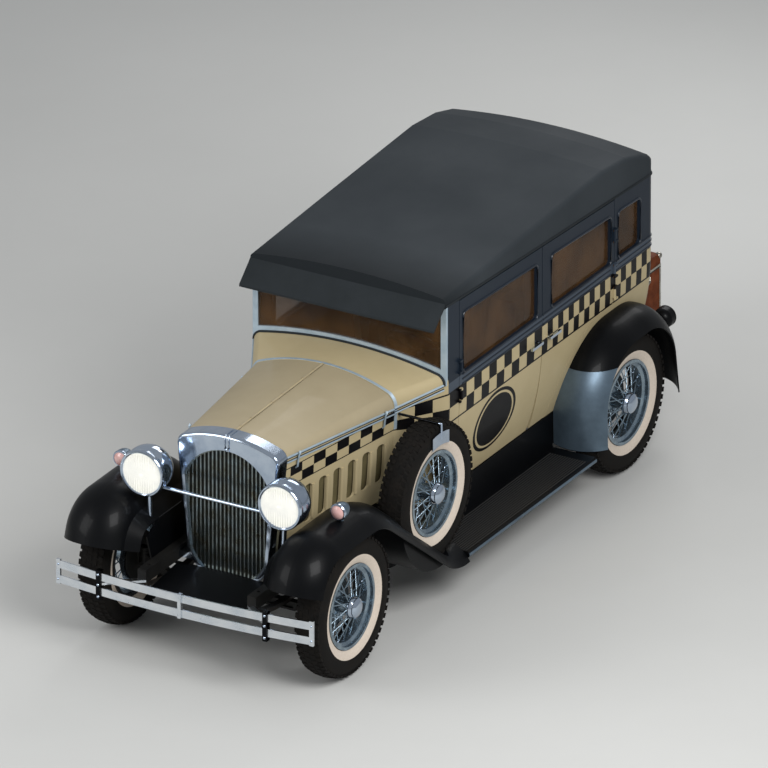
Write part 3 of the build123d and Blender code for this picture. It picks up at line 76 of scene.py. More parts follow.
def surface(name, colour, shade, rough, cloud, grain, bump, metallic=0.0, coat=0.0, spread=0.1, shine=0.5):
    # colour drifts to shade over clouds of a size in mm; grain is the size of the fine bump in mm
    material = bpy.data.materials.new(name)
    material.use_nodes = True
    tree = material.node_tree
    place = add(tree, "TexCoord").outputs["Object"]
    drift = add(tree, "TexNoise", {
        "Vector": place, "Scale": 1000 / cloud, "Detail": 5.0, "Roughness": 0.6})
    soft = add(tree, "MapRange", {"Value": drift, "From Min": 0.35, "From Max": 0.7})
    tint = add(tree, "Mix", {0: soft, 6: linear(colour), 7: linear(shade)}, data_type="RGBA")
    gloss = add(tree, "MapRange", {
        "Value": drift, "From Min": 0.3, "From Max": 0.7,
        "To Min": max(0.02, rough - spread / 2), "To Max": rough + spread / 2})
    fine = add(tree, "TexNoise", {"Vector": place, "Scale": 1000 / grain, "Detail": 3.0})
    relief = add(tree, "Bump", {"Height": fine, "Strength": bump, "Distance": grain / 4000})
    feed(tree, tree.nodes["Principled BSDF"], {
        "Base Color": tint, "Roughness": gloss, "Normal": relief, "Metallic": metallic,
        "Coat Weight": coat, "Coat Roughness": 0.06, "Specular IOR Level": shine})
    return material


def opened(material):
    # the tree, the shader, the colour it has so far, and the places on the piece
    tree = material.node_tree
    shader = tree.nodes["Principled BSDF"]
    colour = shader.inputs["Base Color"].links[0].from_socket
    return tree, shader, colour, add(tree, "TexCoord").outputs


# Plain finishes: what each is, and what it gives the eye.
blackLacquer = surface(  # deep gloss, faint dust
    "blackStovedLacquer", "#07080a", "#0c0d0f", 0.4, 500, 3, 0.03, coat=0.05, shine=0.09)
creamLacquer = surface(  # warm, softly mottled
    "creamNitroLacquer", "#a99c80", "#9d9074", 0.5, 700, 3, 0.03, coat=0.08, shine=0.3)
navyLacquer = surface(  # blue-black frames
    "navyWindowLacquer", "#161d27", "#202a36", 0.32, 300, 3, 0.03, coat=0.2, shine=0.35)
chromePlate = surface(  # cool, bright
    "chromePlatedBrass", "#bfcbda", "#a1b0c4", 0.13, 160, 2, 0.02, metallic=1.0)
steelBlue = surface(  # blue-grey shine
    "satinSheetSteel", "#647685", "#4d5c69", 0.38, 220, 2, 0.03, metallic=0.6)
chassisBlack = surface(  # flat black with road dust
    "brushedChassisPaint", "#0f0f0f", "#1b1a18", 0.6, 200, 6, 0.15, shine=0.25)
ironCast = surface("sandCastIron", "#3b3a37", "#2a2927", 0.7, 120, 3, 0.5)  # gritty grey
springLeaf = surface("oiledSpringSteel", "#2e2c2a", "#3a3430", 0.45, 90, 4, 0.2, metallic=0.6)  # dark, greasy
roofCloth = surface(  # slate, fine woven tooth
    "rubberisedRoofCloth", "#373c40", "#303539", 0.75, 900, 4, 0.25, shine=0.12)
visorCloth = surface(  # darker slate
    "rubberisedVisorCloth", "#2b2f32", "#232729", 0.75, 500, 4, 0.25, shine=0.12)
seatHide = surface("brownUpholsteryHide", "#5a3a24", "#452a19", 0.5, 120, 5, 0.5, spread=0.2)  # pebbled, worn
trunkHide = surface(  # mottled red-brown, dull
    "russetTrunkHide", "#733612", "#4d220d", 0.55, 90, 5, 0.5, spread=0.2, shine=0.1)
trunkBinding = surface(  # soft silver
    "nickelTrunkBinding", "#b9b6ad", "#8f8b82", 0.28, 60, 2, 0.05, metallic=1.0)
floorPlank = surface("oiledFloorBoard", "#4a3423", "#38271a", 0.7, 60, 6, 0.4)  # dark, patchy brown
dashWalnut = surface("polishedWalnut", "#55301a", "#3b200f", 0.3, 40, 4, 0.1, coat=0.4)  # glossy dark brown
bakelite = surface("blackBakelite", "#171412", "#1f1a17", 0.25, 60, 2, 0.03, coat=0.3)  # smooth black gleam
pinkLens = surface("pinkPressedGlass", "#e0b6b0", "#d5a39d", 0.12, 30, 3, 0.1, coat=0.5)  # pale pink, glossy
redLens = surface("redPressedGlass", "#7c120d", "#5f0c09", 0.15, 30, 3, 0.1, coat=0.5)  # deep red, glossy
coreBlack = surface(  # dark, rough metal
    "radiatorCoreFins", "#22282a", "#3a3327", 0.5, 90, 6, 0.8, metallic=0.5)
grilleSteel = surface(  # teal grey, half bright
    "platedGrilleBars", "#8a979b", "#6a695d", 0.25, 60, 2, 0.03, metallic=1.0)
louvreShadePaint = surface("paintedShadeLouvreBacking", "#6d6447", "#5c543b", 0.8, 120, 4, 0.2, shine=0.1)  # cream darkened to olive: painted shade behind the louvres
satinNickel = surface(  # pale blue line
    "satinNickelBand", "#b4c4cf", "#9eb1be", 0.4, 90, 2, 0.03, metallic=0.4)
windowGlass = surface(  # dark see-through with a sharp shine; its lighter streaks are painted reflection
    "drawnWindowGlass", "#25180f", "#67492a", 0.05, 420, 40, 0.0, coat=0.15, spread=0.02, shine=0.22)
lampGlow = surface("litLampGlass", "#d6d6cf", "#e4e3da", 0.12, 60, 4, 0.05, coat=0.3)  # pale, faintly lit
for material, extra in ((windowGlass, {"Alpha": 0.46}),
                        (lampGlow, {"Emission Color": linear("#fffdf6"), "Emission Strength": 0.3})):
    feed(material.node_tree, material.node_tree.nodes["Principled BSDF"], extra)

roofPaintedShade = {"from": 0.05, "to": 0.5, "dark": "#1d2124"}  # darker to the front: painted shade
tree, shader, slate, spot = opened(roofCloth)
along = add(tree, "SeparateXYZ", {0: spot["Object"]}).outputs["X"]
frontShade = add(tree, "MapRange", {
    "Value": along, "From Min": roofPaintedShade["from"], "From Max": roofPaintedShade["to"]})
toned = add(tree, "Mix", {0: frontShade, 6: slate, 7: linear(roofPaintedShade["dark"])}, data_type="RGBA")
feed(tree, shader, {"Base Color": toned})

# Painted side panels: cream, two rows of checks, a blue-grey belt and navy frames, all by place on the car.
panel = {
    "cream": "#b9aa86", "creamShade": "#ac9d7a", "check": "#0b0a0c", "belt": "#414a55", "frame": "#1b242f",
    "trim": "#64472e", "chrome": "#bfcbda",
    "doorBand": (1.000, 1.175), "hoodBand": (1.050, 1.158), "beltTop": 1.246, "lineShare": 0.06,
    "postX": 0.4205, "cowlX": 0.742, "trimCentre": -0.70, "endShare": 0.17, "inward": -0.2,
    "proud": 0.6468, "handles": (behind(2405), 0.2),
    "badge": (-0.15, 0.79, 0.24, 0.19), "badgeRing": (0.86, 0.035),
}


def panelPaint(name, checkLength, checkStart, badge=False):
    p = panel
    black = linear(p["check"])
    material = surface(name, p["cream"], p["creamShade"], 0.42, 700, 3, 0.03, coat=0.05, shine=0.14)
    tree, shader, cream, spot = opened(material)
    gloss = shader.inputs["Roughness"].links[0].from_socket
    at = add(tree, "SeparateXYZ", {0: spot["Object"]}).outputs
    face = add(tree, "SeparateXYZ", {0: spot["Normal"]}).outputs
    # the check band rises and narrows from the door to the hood
    span = {"Value": at["X"], "From Min": p["postX"], "From Max": p["cowlX"]}
    ends = zip(p["doorBand"], p["hoodBand"])
    low, high = [add(tree, "MapRange", {**span, "To Min": a, "To Max": b}) for a, b in ends]
    made = {"x": at["X"], "y": at["Y"], "z": at["Z"], "faceX": face["X"], "faceY": face["Y"],
            "low": low, "high": high}
    sums = (  # the name of each result, its operation, and what goes in
        ("rise", "SUBTRACT", "z", "low"),
        ("tall", "SUBTRACT", "high", "low"),
        ("share", "DIVIDE", "rise", "tall"),
        ("rows", "MULTIPLY", "share", 2.0),
        ("along", "SUBTRACT", "x", checkStart),
        ("columns", "DIVIDE", "along", checkLength),
        ("inBand", "COMPARE", "share", 0.5, 0.5),
        ("inLine", "COMPARE", "share", 0.5, 0.5 + p["lineShare"]),
        # doors, quarters and posts carry the belt and the navy frames above the checks
        ("onDoor", "LESS_THAN", "x", p["postX"]),
        ("overBand", "GREATER_THAN", "share", 1.0 + p["lineShare"]),
        ("onBelt", "MULTIPLY", "onDoor", "overBand"),
        ("aboveBelt", "GREATER_THAN", "z", p["beltTop"]),
        ("onFrame", "MULTIPLY", "onDoor", "aboveBelt"),
        # inward faces are lined with cloth
        ("fromMiddle", "SUBTRACT", "x", p["trimCentre"]),
        ("endward", "MULTIPLY", "fromMiddle", p["endShare"]),
        ("lean", "MULTIPLY", "faceX", "endward"),
        ("sideLean", "MULTIPLY_ADD", "faceY", "y", "lean"),
        ("inward", "LESS_THAN", "sideLean", p["inward"]),
        # the handles stand proud of the skin beside the middle post and are plated
        ("reachOut", "ABSOLUTE", "y"),
        ("outside", "GREATER_THAN", "reachOut", p["proud"]),
        ("byPost", "COMPARE", "x", *p["handles"]),
        ("plated", "MULTIPLY", "outside", "byPost"),
    )
    for label, operation, *terms in sums:
        feeds = {i: made.get(term, term) for i, term in enumerate(terms)}
        made[label] = add(tree, "Math", feeds, operation=operation)
    grid = add(tree, "CombineXYZ", {"X": made["columns"], "Y": 0.5, "Z": made["rows"]})
    checks = add(tree, "TexChecker", {"Vector": grid, "Scale": 1.0, "Color1": black, "Color2": cream})
    coats = [("inLine", black), ("inBand", checks),
             ("onBelt", linear(p["belt"])), ("onFrame", linear(p["frame"]))]
    if badge:  # a plain oval roundel with one cream ring
        x, z, halfLong, halfTall = p["badge"]
        middle, half = p["badgeRing"]
        across = add(tree, "Math", {0: at["X"], 1: x}, operation="SUBTRACT")
        up = add(tree, "Math", {0: at["Z"], 1: z}, operation="SUBTRACT")
        oval = add(tree, "CombineXYZ", {"X": across, "Y": up})
        sized = add(tree, "VectorMath", {0: oval, 1: (halfLong, halfTall, 1.0)}, operation="DIVIDE")
        reach = add(tree, "VectorMath", {0: sized}, operation="LENGTH")
        made["disc"] = add(tree, "Math", {0: reach, 1: 1.0}, operation="LESS_THAN")
        made["ring"] = add(tree, "Math", {0: reach, 1: middle, 2: half}, operation="COMPARE")
        coats += [("disc", black), ("ring", linear(p["cream"]))]
    coats += [("inward", linear(p["trim"])), ("plated", linear(p["chrome"]))]
    colour, rough = cream, gloss
    for mask, coat in coats:  # each coat covers those before it
        colour = add(tree, "Mix", {0: made[mask], 6: colour, 7: coat}, data_type="RGBA")
    for mask, value in (("inward", 0.85), ("plated", 0.12)):
        rough = add(tree, "Mix", {0: made[mask], 2: rough, 3: value}, data_type="FLOAT")
    feed(tree, shader, {"Base Color": colour, "Metallic": made["plated"], "Roughness": rough})
    return material


frontDoorPaint = panelPaint("creamCheckedDoorPaint", 0.0865, -0.6525, badge=True)
rearPanelPaint = panelPaint("creamCheckedQuarterPaint", 0.0605, -0.6575)
cowlPaint = panelPaint("creamCheckedCowlPaint", 0.106, 0.3)

# Tyres and wheels: a white ring on both walls, a black drum on the inner side.
wheelPlaces = {
    "front_left": (1.750, 0.711, 0.423, 1, "front_left_wheel"),
    "front_right": (1.750, -0.711, 0.423, -1, "front_right_wheel"),
    "rear_left": (-1.410, 0.711, 0.423, 1, "rear_left_wheel"),
    "rear_right": (-1.410, -0.711, 0.423, -1, "rear_right_wheel"),
    "spare": (behind(960), 0.700, 0.740, 1, "chassis"),
}
tyreLook = {"rubber": "#100f0e", "dust": "#1b1815", "white": "#d9cdc0", "whiteShade": "#c4b6a6",
            "ring": (0.256, 0.310), "wall": 0.3, "mottle": 12}
wheelLook = {"steel": "#97a8b4", "shade": "#6d7d8a", "drum": "#17181a", "drumDepth": -0.0455, "metal": 0.9}


def tyreRubber(name, x, z):
    t = tyreLook
    inner, outer = t["ring"]
    white, whiteShade = linear(t["white"]), linear(t["whiteShade"])
    material = surface(name, t["rubber"], t["dust"], 0.75, 60, 3, 0.3, spread=0.15, shine=0.12)
    tree, shader, rubber, spot = opened(material)
    place = spot["Object"]
    offset = add(tree, "VectorMath", {0: place, 1: (x, 0, z)}, operation="SUBTRACT")
    flat = add(tree, "VectorMath", {0: offset, 1: (1, 0, 1)}, operation="MULTIPLY")
    radius = add(tree, "VectorMath", {0: flat}, operation="LENGTH")
    band = {0: radius, 1: (inner + outer) / 2, 2: (outer - inner) / 2}
    onRing = add(tree, "Math", band, operation="COMPARE")
    face = add(tree, "SeparateXYZ", {0: spot["Normal"]}).outputs["Y"]
    flank = add(tree, "Math", {0: face}, operation="ABSOLUTE")
    onWall = add(tree, "Math", {0: flank, 1: t["wall"]}, operation="GREATER_THAN")
    mask = add(tree, "Math", {0: onRing, 1: onWall}, operation="MULTIPLY")
    drift = add(tree, "TexNoise", {"Vector": place, "Scale": 1000 / t["mottle"], "Detail": 4.0})
    chalk = add(tree, "Mix", {0: drift, 6: white, 7: whiteShade}, data_type="RGBA")
    colour = add(tree, "Mix", {0: mask, 6: rubber, 7: chalk}, data_type="RGBA")
    feed(tree, shader, {"Base Color": colour})
    return material


def wheelSteel(name, y, side):
    w = wheelLook
    material = surface(name, w["steel"], w["shade"], 0.25, 60, 2, 0.04, metallic=w["metal"])
    tree, shader, steel, spot = opened(material)
    place = add(tree, "SeparateXYZ", {0: spot["Object"]}).outputs["Y"]
    inward = add(tree, "Math", {0: place, 1: y}, operation="SUBTRACT")
    depth = add(tree, "Math", {0: inward, 1: side}, operation="MULTIPLY")
    drum = add(tree, "Math", {0: depth, 1: w["drumDepth"]}, operation="LESS_THAN")
    colour = add(tree, "Mix", {0: drum, 6: steel, 7: linear(w["drum"])}, data_type="RGBA")
    bright = add(tree, "Math", {0: w["metal"], 1: drum}, operation="SUBTRACT", use_clamp=True)
    feed(tree, shader, {"Base Color": colour, "Metallic": bright})
    return material


def darkBetween(material, middle, half):
    # a plated piece is black where its distance from the centre line is within half of middle
    tree, shader, bright, spot = opened(material)
    across = add(tree, "SeparateXYZ", {0: spot["Object"]}).outputs["Y"]
    reach = add(tree, "Math", {0: across}, operation="ABSOLUTE")
    inside = add(tree, "Math", {0: reach, 1: middle, 2: half}, operation="COMPARE")
    colour = add(tree, "Mix", {0: inside, 6: bright, 7: linear("#1b1c1e")}, data_type="RGBA")
    feed(tree, shader, {"Base Color": colour})


bumperPlate = surface(  # pale silver, softly bright
    "chromePlatedSpringBar", "#e2e6ea", "#c4cdd7", 0.26, 160, 2, 0.02, metallic=1.0)
darkBetween(bumperPlate, 0.546, 0.0155)  # black clamps
spareClamp = surface(  # bright plate
    "platedSpareClamp", "#bfcbda", "#a1b0c4", 0.2, 160, 2, 0.02, metallic=1.0)
darkBetween(spareClamp, 0.3875, 0.3875)  # black rod

finishCards = (  # each finish, and the CAD nodes that wear it
    (chassisBlack, "frame_rails cross_members front_axle rear_axle knuckle_left knuckle_right tie_rod"),
    (chassisBlack, "trunk_rack steering_column"),
    (ironCast, "engine exhaust"),
    (springLeaf, "leaf_springs"),
    (chromePlate, "radiator_shell headlamps headlamp_bar"),
    (coreBlack, "radiator_core"),
    (grilleSteel, "grille"),
    (cowlPaint, "hood_sides cowl"),
    (creamLacquer, "hood_left hood_right"),
    (satinNickel, "windshield_frame"),
    (windowGlass, "fixed_glass door_glass_front_left door_glass_front_right"),
    (windowGlass, "door_glass_rear_left door_glass_rear_right"),
    (frontDoorPaint, "door_front_left door_front_right"),
    (rearPanelPaint, "body_shell door_rear_left door_rear_right"),
    (roofCloth, "roof"),
    (visorCloth, "visor"),
    (floorPlank, "floor"),
    (dashWalnut, "dashboard"),
    (bakelite, "steering_wheel"),
    (blackLacquer, "front_fenders rear_fenders running_boards tail_lamps"),
    (steelBlue, "gravel_guards fender_lamps"),
    (bumperPlate, "front_bumper"),
    (lampGlow, "headlamp_lenses"),
    (spareClamp, "spare_mount"),
    (trunkHide, "trunk_box trunk_lid"),
    (seatHide, "front_seat rear_seat"),
)
finishes = {name: material for material, names in finishCards for name in names.split()}
for key, (x, y, z, side, body) in wheelPlaces.items():
    tyreNode, wheelNode = ("spare_tyre", "spare_wheel") if key == "spare" else ("tyre_" + key, "wheel_" + key)
    finishes[tyreNode] = tyreRubber(f"mouldedRubber_{key}", x, z)
    finishes[wheelNode] = wheelSteel(f"cadmiumWire_{key}", y, side)
for name, material in finishes.items():
    nodes[name].data.materials.clear()
    nodes[name].data.materials.append(material)
print("finishes set:", len(finishes))


def meshPiece(name, points, faces, material=None, edges=()):
    mesh = bpy.data.meshes.new(name)
    mesh.from_pydata([tuple(p) for p in points], list(edges), list(faces))
    piece = bpy.data.objects.new(name, mesh)
    scene.collection.objects.link(piece)
    if material:
        mesh.materials.append(material)
    return piece


def tidyMesh(piece):
    work = bmesh.new()
    work.from_mesh(piece.data)
    bmesh.ops.remove_doubles(work, verts=work.verts, dist=1e-5)
    bmesh.ops.recalc_face_normals(work, faces=work.faces)
    work.to_mesh(piece.data)
    work.free()
    piece.data.shade_smooth()
    piece.data.set_sharp_from_angle(angle=crease)
    return piece


def baked(piece):
    # the mesh that the modifiers make; they are then taken off
    graph = bpy.context.evaluated_depsgraph_get()
    mesh = bpy.data.meshes.new_from_object(
        piece.evaluated_get(graph), preserve_all_data_layers=True, depsgraph=graph)
    piece.modifiers.clear()
    return mesh


def fit(piece, slot, body="chassis"):
    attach(piece, body)
    return piece


def lathe(name, profile, centre, axis, material, slot, body="chassis", sides=40):
    # profile is (radius, height) pairs turned about an axis through centre
    lift = Vector(axis).normalized()
    first = lift.orthogonal().normalized()
    second = lift.cross(first)
    points, faces = [], []
    for turn in range(sides):
        angle = 2 * math.pi * turn / sides
        way = first * math.cos(angle) + second * math.sin(angle)
        points += [Vector(centre) + way * r + lift * h for r, h in profile]
    count = len(profile)
    for turn in range(sides):
        a, b = turn * count, (turn + 1) % sides * count
        faces += [(a + i, b + i, b + i + 1, a + i + 1) for i in range(count - 1)]
    return fit(tidyMesh(meshPiece(name, points, faces, material)), slot, body)


def treeWith(name, inputs):
    tree = bpy.data.node_groups.new(name, "GeometryNodeTree")
    sockets = tree.interface
    sockets.new_socket("Geometry", in_out="INPUT", socket_type="NodeSocketGeometry")
    keys = {}
    for label, kind in inputs.items():
        keys[label] = sockets.new_socket(label, in_out="INPUT", socket_type="NodeSocket" + kind).identifier
    sockets.new_socket("Geometry", in_out="OUTPUT", socket_type="NodeSocketGeometry")
    return tree, keys, add(tree, "NodeGroupInput").outputs, add(tree, "NodeGroupOutput")


def painted(tree, geometry, inputs):
    # copies are made real and get their finish
    real = add(tree, "GeometryNodeRealizeInstances", {"Geometry": geometry})
    return add(tree, "GeometryNodeSetMaterial", {"Geometry": real, "Material": inputs["Finish"]})


# A round or oval bead swept along a line of edges.
beadTree, beadKeys, beadIn, beadOut = treeWith(
    "beadAlongLine", {"Wide": "Float", "Deep": "Float", "Sides": "Int", "Finish": "Material"})
beadLine = add(beadTree, "GeometryNodeMeshToCurve", {"Mesh": beadIn["Geometry"]})
beadUp = add(beadTree, "GeometryNodeSetCurveNormal", {"Curve": beadLine}, mode="Z_UP")
beadRound = add(beadTree, "GeometryNodeCurvePrimitiveCircle", {"Resolution": beadIn["Sides"], "Radius": 1.0})
beadSize = add(beadTree, "CombineXYZ", {"X": beadIn["Wide"], "Y": beadIn["Deep"], "Z": 1.0})
beadOval = add(beadTree, "GeometryNodeTransform", {"Geometry": beadRound, "Scale": beadSize})
beadBody = add(beadTree, "GeometryNodeCurveToMesh", {
    "Curve": beadUp, "Profile Curve": beadOval, "Fill Caps": True})
feed(beadTree, beadOut, {"Geometry": painted(beadTree, beadBody, beadIn)})

# One small shape set on every point, turned to the point's aim and scaled to its size.
spotTree, spotKeys, spotIn, spotOut = treeWith("shapeOnPoints", {"Shape": "Object", "Finish": "Material"})
spotShape = add(spotTree, "GeometryNodeObjectInfo", {"Object": spotIn["Shape"], "As Instance": True},
                transform_space="ORIGINAL")
spotAim = add(spotTree, "GeometryNodeInputNamedAttribute", {"Name": "aim"}, data_type="FLOAT_VECTOR")
spotSize = add(spotTree, "GeometryNodeInputNamedAttribute", {"Name": "size"}, data_type="FLOAT_VECTOR")
spotTurn = add(spotTree, "FunctionNodeAlignRotationToVector", {"Vector": spotAim}, axis="Z")
spotSet = add(spotTree, "GeometryNodeInstanceOnPoints", {
    "Points": spotIn["Geometry"], "Instance": spotShape.outputs["Geometry"],
    "Rotation": spotTurn, "Scale": spotSize})
feed(spotTree, spotOut, {"Geometry": painted(spotTree, spotSet, spotIn)})

# One shape repeated in a ring about the Y axis, then moved to its wheel.
ringTree, ringKeys, ringIn, ringOut = treeWith(
    "shapeInRing", {"Shape": "Object", "Count": "Int", "Centre": "Vector", "Finish": "Material"})
ringShape = add(ringTree, "GeometryNodeObjectInfo", {"Object": ringIn["Shape"], "As Instance": True},
                transform_space="ORIGINAL")
ringSpots = add(ringTree, "GeometryNodeMeshLine", {"Count": ringIn["Count"], "Offset": (0, 0, 0)})
ringStep = add(ringTree, "Math", {0: 2 * math.pi, 1: ringIn["Count"]}, operation="DIVIDE")
ringIndex = add(ringTree, "GeometryNodeInputIndex")
ringAngle = add(ringTree, "Math", {0: ringIndex, 1: ringStep}, operation="MULTIPLY")
ringTurn = add(ringTree, "CombineXYZ", {"Y": ringAngle})
ringSet = add(ringTree, "GeometryNodeInstanceOnPoints", {
    "Points": ringSpots, "Instance": ringShape.outputs["Geometry"], "Rotation": ringTurn})
ringMove = add(ringTree, "GeometryNodeTransform", {"Geometry": ringSet, "Translation": ringIn["Centre"]})
feed(ringTree, ringOut, {"Geometry": painted(ringTree, ringMove, ringIn)})


def grow(name, source, tree, keys, values, slot, body):
    modifier = source.modifiers.new("grow", "NODES")
    modifier.node_group = tree
    for label, value in values.items():
        modifier[keys[label]] = value
    source.update_tag()
    mesh = baked(source)
    bpy.data.objects.remove(source)
    mesh.name = name
    for extra in [a for a in mesh.attributes if a.name in ("aim", "size")]:
        mesh.attributes.remove(extra)
    piece = bpy.data.objects.new(name, mesh)
    scene.collection.objects.link(piece)
    mesh.shade_smooth()
    mesh.set_sharp_from_angle(angle=crease)
    return fit(piece, slot, body)


def beads(name, lines, size, material, slot, body="chassis", loop=False, sides=10):
    # size is one radius, or a pair for an oval
    wide, deep = size if isinstance(size, tuple) else (size, size)
    points, edges = [], []
    for line in lines:
        start = len(points)
        points += line
        edges += [(start + i, start + i + 1) for i in range(len(line) - 1)]
        if loop:
            edges.append((start + len(line) - 1, start))
    source = meshPiece(name + "Line", points, (), edges=edges)
    values = {"Wide": wide, "Deep": deep, "Sides": sides, "Finish": material}
    return grow(name, source, beadTree, beadKeys, values, slot, body)


def scatter(name, rows, shape, material, slot, body="chassis"):
    # rows are (place, aim, size)
    source = meshPiece(name + "Spots", [r[0] for r in rows], ())
    for label, column in (("aim", 1), ("size", 2)):
        layer = source.data.attributes.new(label, "FLOAT_VECTOR", "POINT")
        layer.data.foreach_set("vector", np.array([r[column] for r in rows], np.float32).ravel())
    return grow(name, source, spotTree, spotKeys, {"Shape": shape, "Finish": material}, slot, body)


def shapeFrom(name, build):
    work = bmesh.new()
    build(work)
    mesh = bpy.data.meshes.new(name)
    work.to_mesh(mesh)
    work.free()
    shape = bpy.data.objects.new(name, mesh)
    scene.collection.objects.link(shape)
    return shape


def domeShape(work):  # a half ball of unit radius for rivets and bolt heads
    bmesh.ops.create_uvsphere(work, u_segments=10, v_segments=6, radius=1.0)
    cut = bmesh.ops.bisect_plane(work, geom=work.verts[:] + work.edges[:] + work.faces[:],
                                 plane_co=(0, 0, -0.2), plane_no=(0, 0, -1), clear_outer=True)
    bmesh.ops.contextual_create(work, geom=[e for e in cut["geom_cut"] if isinstance(e, bmesh.types.BMEdge)])


def barShape(work):  # a unit bar with eased long edges
    bmesh.ops.create_cube(work, size=1.0)
    upright = [e for e in work.edges if abs(e.verts[0].co.z - e.verts[1].co.z) > 0.5]
    bmesh.ops.bevel(work, geom=upright, offset=0.2, segments=2, affect="EDGES")


dome = shapeFrom("domeShape", domeShape)
bar = shapeFrom("barShape", barShape)
print("node trees built")

# Road tread: a rib of blocks in the middle and lugs on each shoulder.
tread = {"count": 58, "radius": 0.423, "proud": 0.0045, "root": 0.012, "fill": 0.62, "skew": 0.5,
         "rows": [(-0.062, 0.014, 0.4095), (-0.034, 0.011, 0.4185), (0.0, 0.013, 0.4225),
                  (0.034, 0.011, 0.4185), (0.062, 0.014, 0.4095)]}  # middle, half width, radius


def lugShape(work):
    pitch = 2 * math.pi * tread["radius"] / tread["count"]
    proud, root = tread["proud"], tread["root"]
    for index, (y, half, radius) in enumerate(tread["rows"]):
        made = bmesh.ops.create_cube(work, size=1.0)["verts"]
        slip = pitch * (0.25 if index % 2 else -0.25)
        for v in made:
            v.co = Vector((v.co.x * pitch * tread["fill"] + slip + v.co.y * half * tread["skew"],
                           y + v.co.y * 2 * half,
                           radius + proud / 2 - root / 2 + v.co.z * (proud + root)))
            if v.co.z > radius and abs(v.co.y) > abs(y) + 0.5 * half:
                v.co.z -= 0.0035 if abs(y) > 0.05 else 0.0015


lug = shapeFrom("lugShape", lugShape)
treadRubber = surface(  # dull dusty black
    "mouldedTreadRubber", "#0f0e0d", "#1b1815", 0.8, 50, 3, 0.3, spread=0.15, shine=0.12)
for key, (x, y, z, side, body) in wheelPlaces.items():
    source = meshPiece("treadSeed", [(0, 0, 0)], ())
    values = {"Shape": lug, "Count": tread["count"], "Centre": (x, y, z), "Finish": treadRubber}
    grow(f"roadTread_{key}", source, ringTree, ringKeys, values, "tyre", body)

# Spoke nipples inside each rim, and a bright rim on the hub cap.
nipples = {"count": 20, "reach": 0.2195, "offset": 0.009, "size": (0.0055, 0.0055, 0.011)}
hubCap = [(0.0, 0.1165), (0.018, 0.1158), (0.030, 0.1135), (0.043, 0.1085), (0.0575, 0.0975),
          (0.0585, 0.0935), (0.0575, 0.0905), (0.0655, 0.0755), (0.0668, 0.0705), (0.0655, 0.066),
          (0.060, 0.0655)]  # radius, height
for key, (x, y, z, side, body) in wheelPlaces.items():
    rows = []
    for row in (1, -1):
        centre = Vector((x, y + side * row * nipples["offset"], z))
        for index in range(nipples["count"]):
            angle = 2 * math.pi / nipples["count"] * (index + (0.5 if row < 0 else 0.0))
            way = Vector((math.cos(angle) * side, 0, math.sin(angle)))
            rows.append((centre + way * nipples["reach"], -way, nipples["size"]))
    scatter(f"spokeNipples_{key}", rows, dome, chromePlate, "chrome", body)
    lathe(f"hubCap_{key}", hubCap, (x, y, z), (0, side, 0), chromePlate, "chrome", body)
print("wheels dressed")

# Belt and window mouldings, one piece for each moving body.
bodyHalf, bodyEnd = 0.640, 3715  # half width, and the station of the back
trim = {"skin": 0.6405, "beltLines": (1.187, 1.2165, 1.246), "beltRound": 0.0052, "windowRound": 0.0065,
        "windowInset": 0.004, "sill": 1.252, "corner": 0.030, "head": 0.095, "backCorner": 0.070,
        "drip": 0.007, "dripLift": 0.010, "dripProud": 0.001, "dripStart": 1288,
        "dripHeights": (1.732, 1.624)}
windows = {"front": (1500, 2345), "rear": (2512, 3195), "quarter": (3285, 3536)}  # front and rear station
rearWindow = {"half": 0.314, "heights": (1.286, 1.544), "corner": 0.064, "proud": 0.0005}


def shareOf(station, first, last):
    return (station - first) / (last - first)


def between(pair, share):
    return pair[0] + share * (pair[1] - pair[0])


def dripHeight(station):
    return between(trim["dripHeights"], shareOf(station, trim["dripStart"], bodyEnd))


def roundedLoop(corners, r):
    # corners in order from low left, turning anticlockwise
    inner = ((r, r), (-r, r), (-r, -r), (r, -r))
    loop = []
    for (u, v), (du, dv), start in zip(corners, inner, (180, 270, 0, 90)):
        for step in range(7):
            angle = math.radians(start + 15 * step)
            loop.append((u + du + r * math.cos(angle), v + dv + r * math.sin(angle)))
    return loop


def windowLoop(key, side):
    grown = trim["windowInset"]
    low, (front, rear) = trim["sill"] - grown, windows[key]
    xFront, xRear = behind(front) + grown, behind(rear) - grown
    topFront, topRear = [dripHeight(s) - trim["head"] + grown for s in (front, rear)]
    corners = [(xRear, low), (xFront, low), (xFront, topFront), (xRear, topRear)]
    return [(x, side * trim["skin"], z) for x, z in roundedLoop(corners, trim["corner"])]


doorSpans = {"front": (1490, 2399), "rear": (2411, 3190)}
for sideName, side in hands:
    for key, (start, stop) in doorSpans.items():
        body = f"{key}_{sideName}_door"
        stations = np.linspace(start, stop, 8)
        lines = [[(behind(s), side * trim["skin"], z) for s in stations] for z in trim["beltLines"]]
        beads(f"beltMoulding_{key}_{sideName}", lines, trim["beltRound"], navyLacquer, "black_paint", body)
        beads(f"windowMoulding_{key}_{sideName}", [windowLoop(key, side)], trim["windowRound"],
              navyLacquer, "black_paint", body, loop=True)
beads("windowMoulding_quarters", [windowLoop("quarter", 1), windowLoop("quarter", -1)], trim["windowRound"],
      navyLacquer, "black_paint", loop=True)


def roundBack(z, proud=0.0005, start=3260):
    # a line from the left quarter round the back to the right quarter
    corner = trim["backCorner"]
    turn, middle = bodyEnd - 1000 * corner, bodyHalf - corner
    line = [(behind(s), bodyHalf + proud, z(s)) for s in np.linspace(start, turn, 6)]
    for step in range(1, 10):
        angle = math.radians(10 * step)
        along, out = math.sin(angle) * (corner + proud), math.cos(angle) * (corner + proud)
        line.append((behind(turn) - along, middle + out, z(turn + 1000 * along)))
    line += [(behind(bodyEnd) - proud, y, z(bodyEnd)) for y in np.linspace(middle * 0.8, 0, 3)]
    return line + [(x, -y, h) for x, y, h in reversed(line[:-1])]


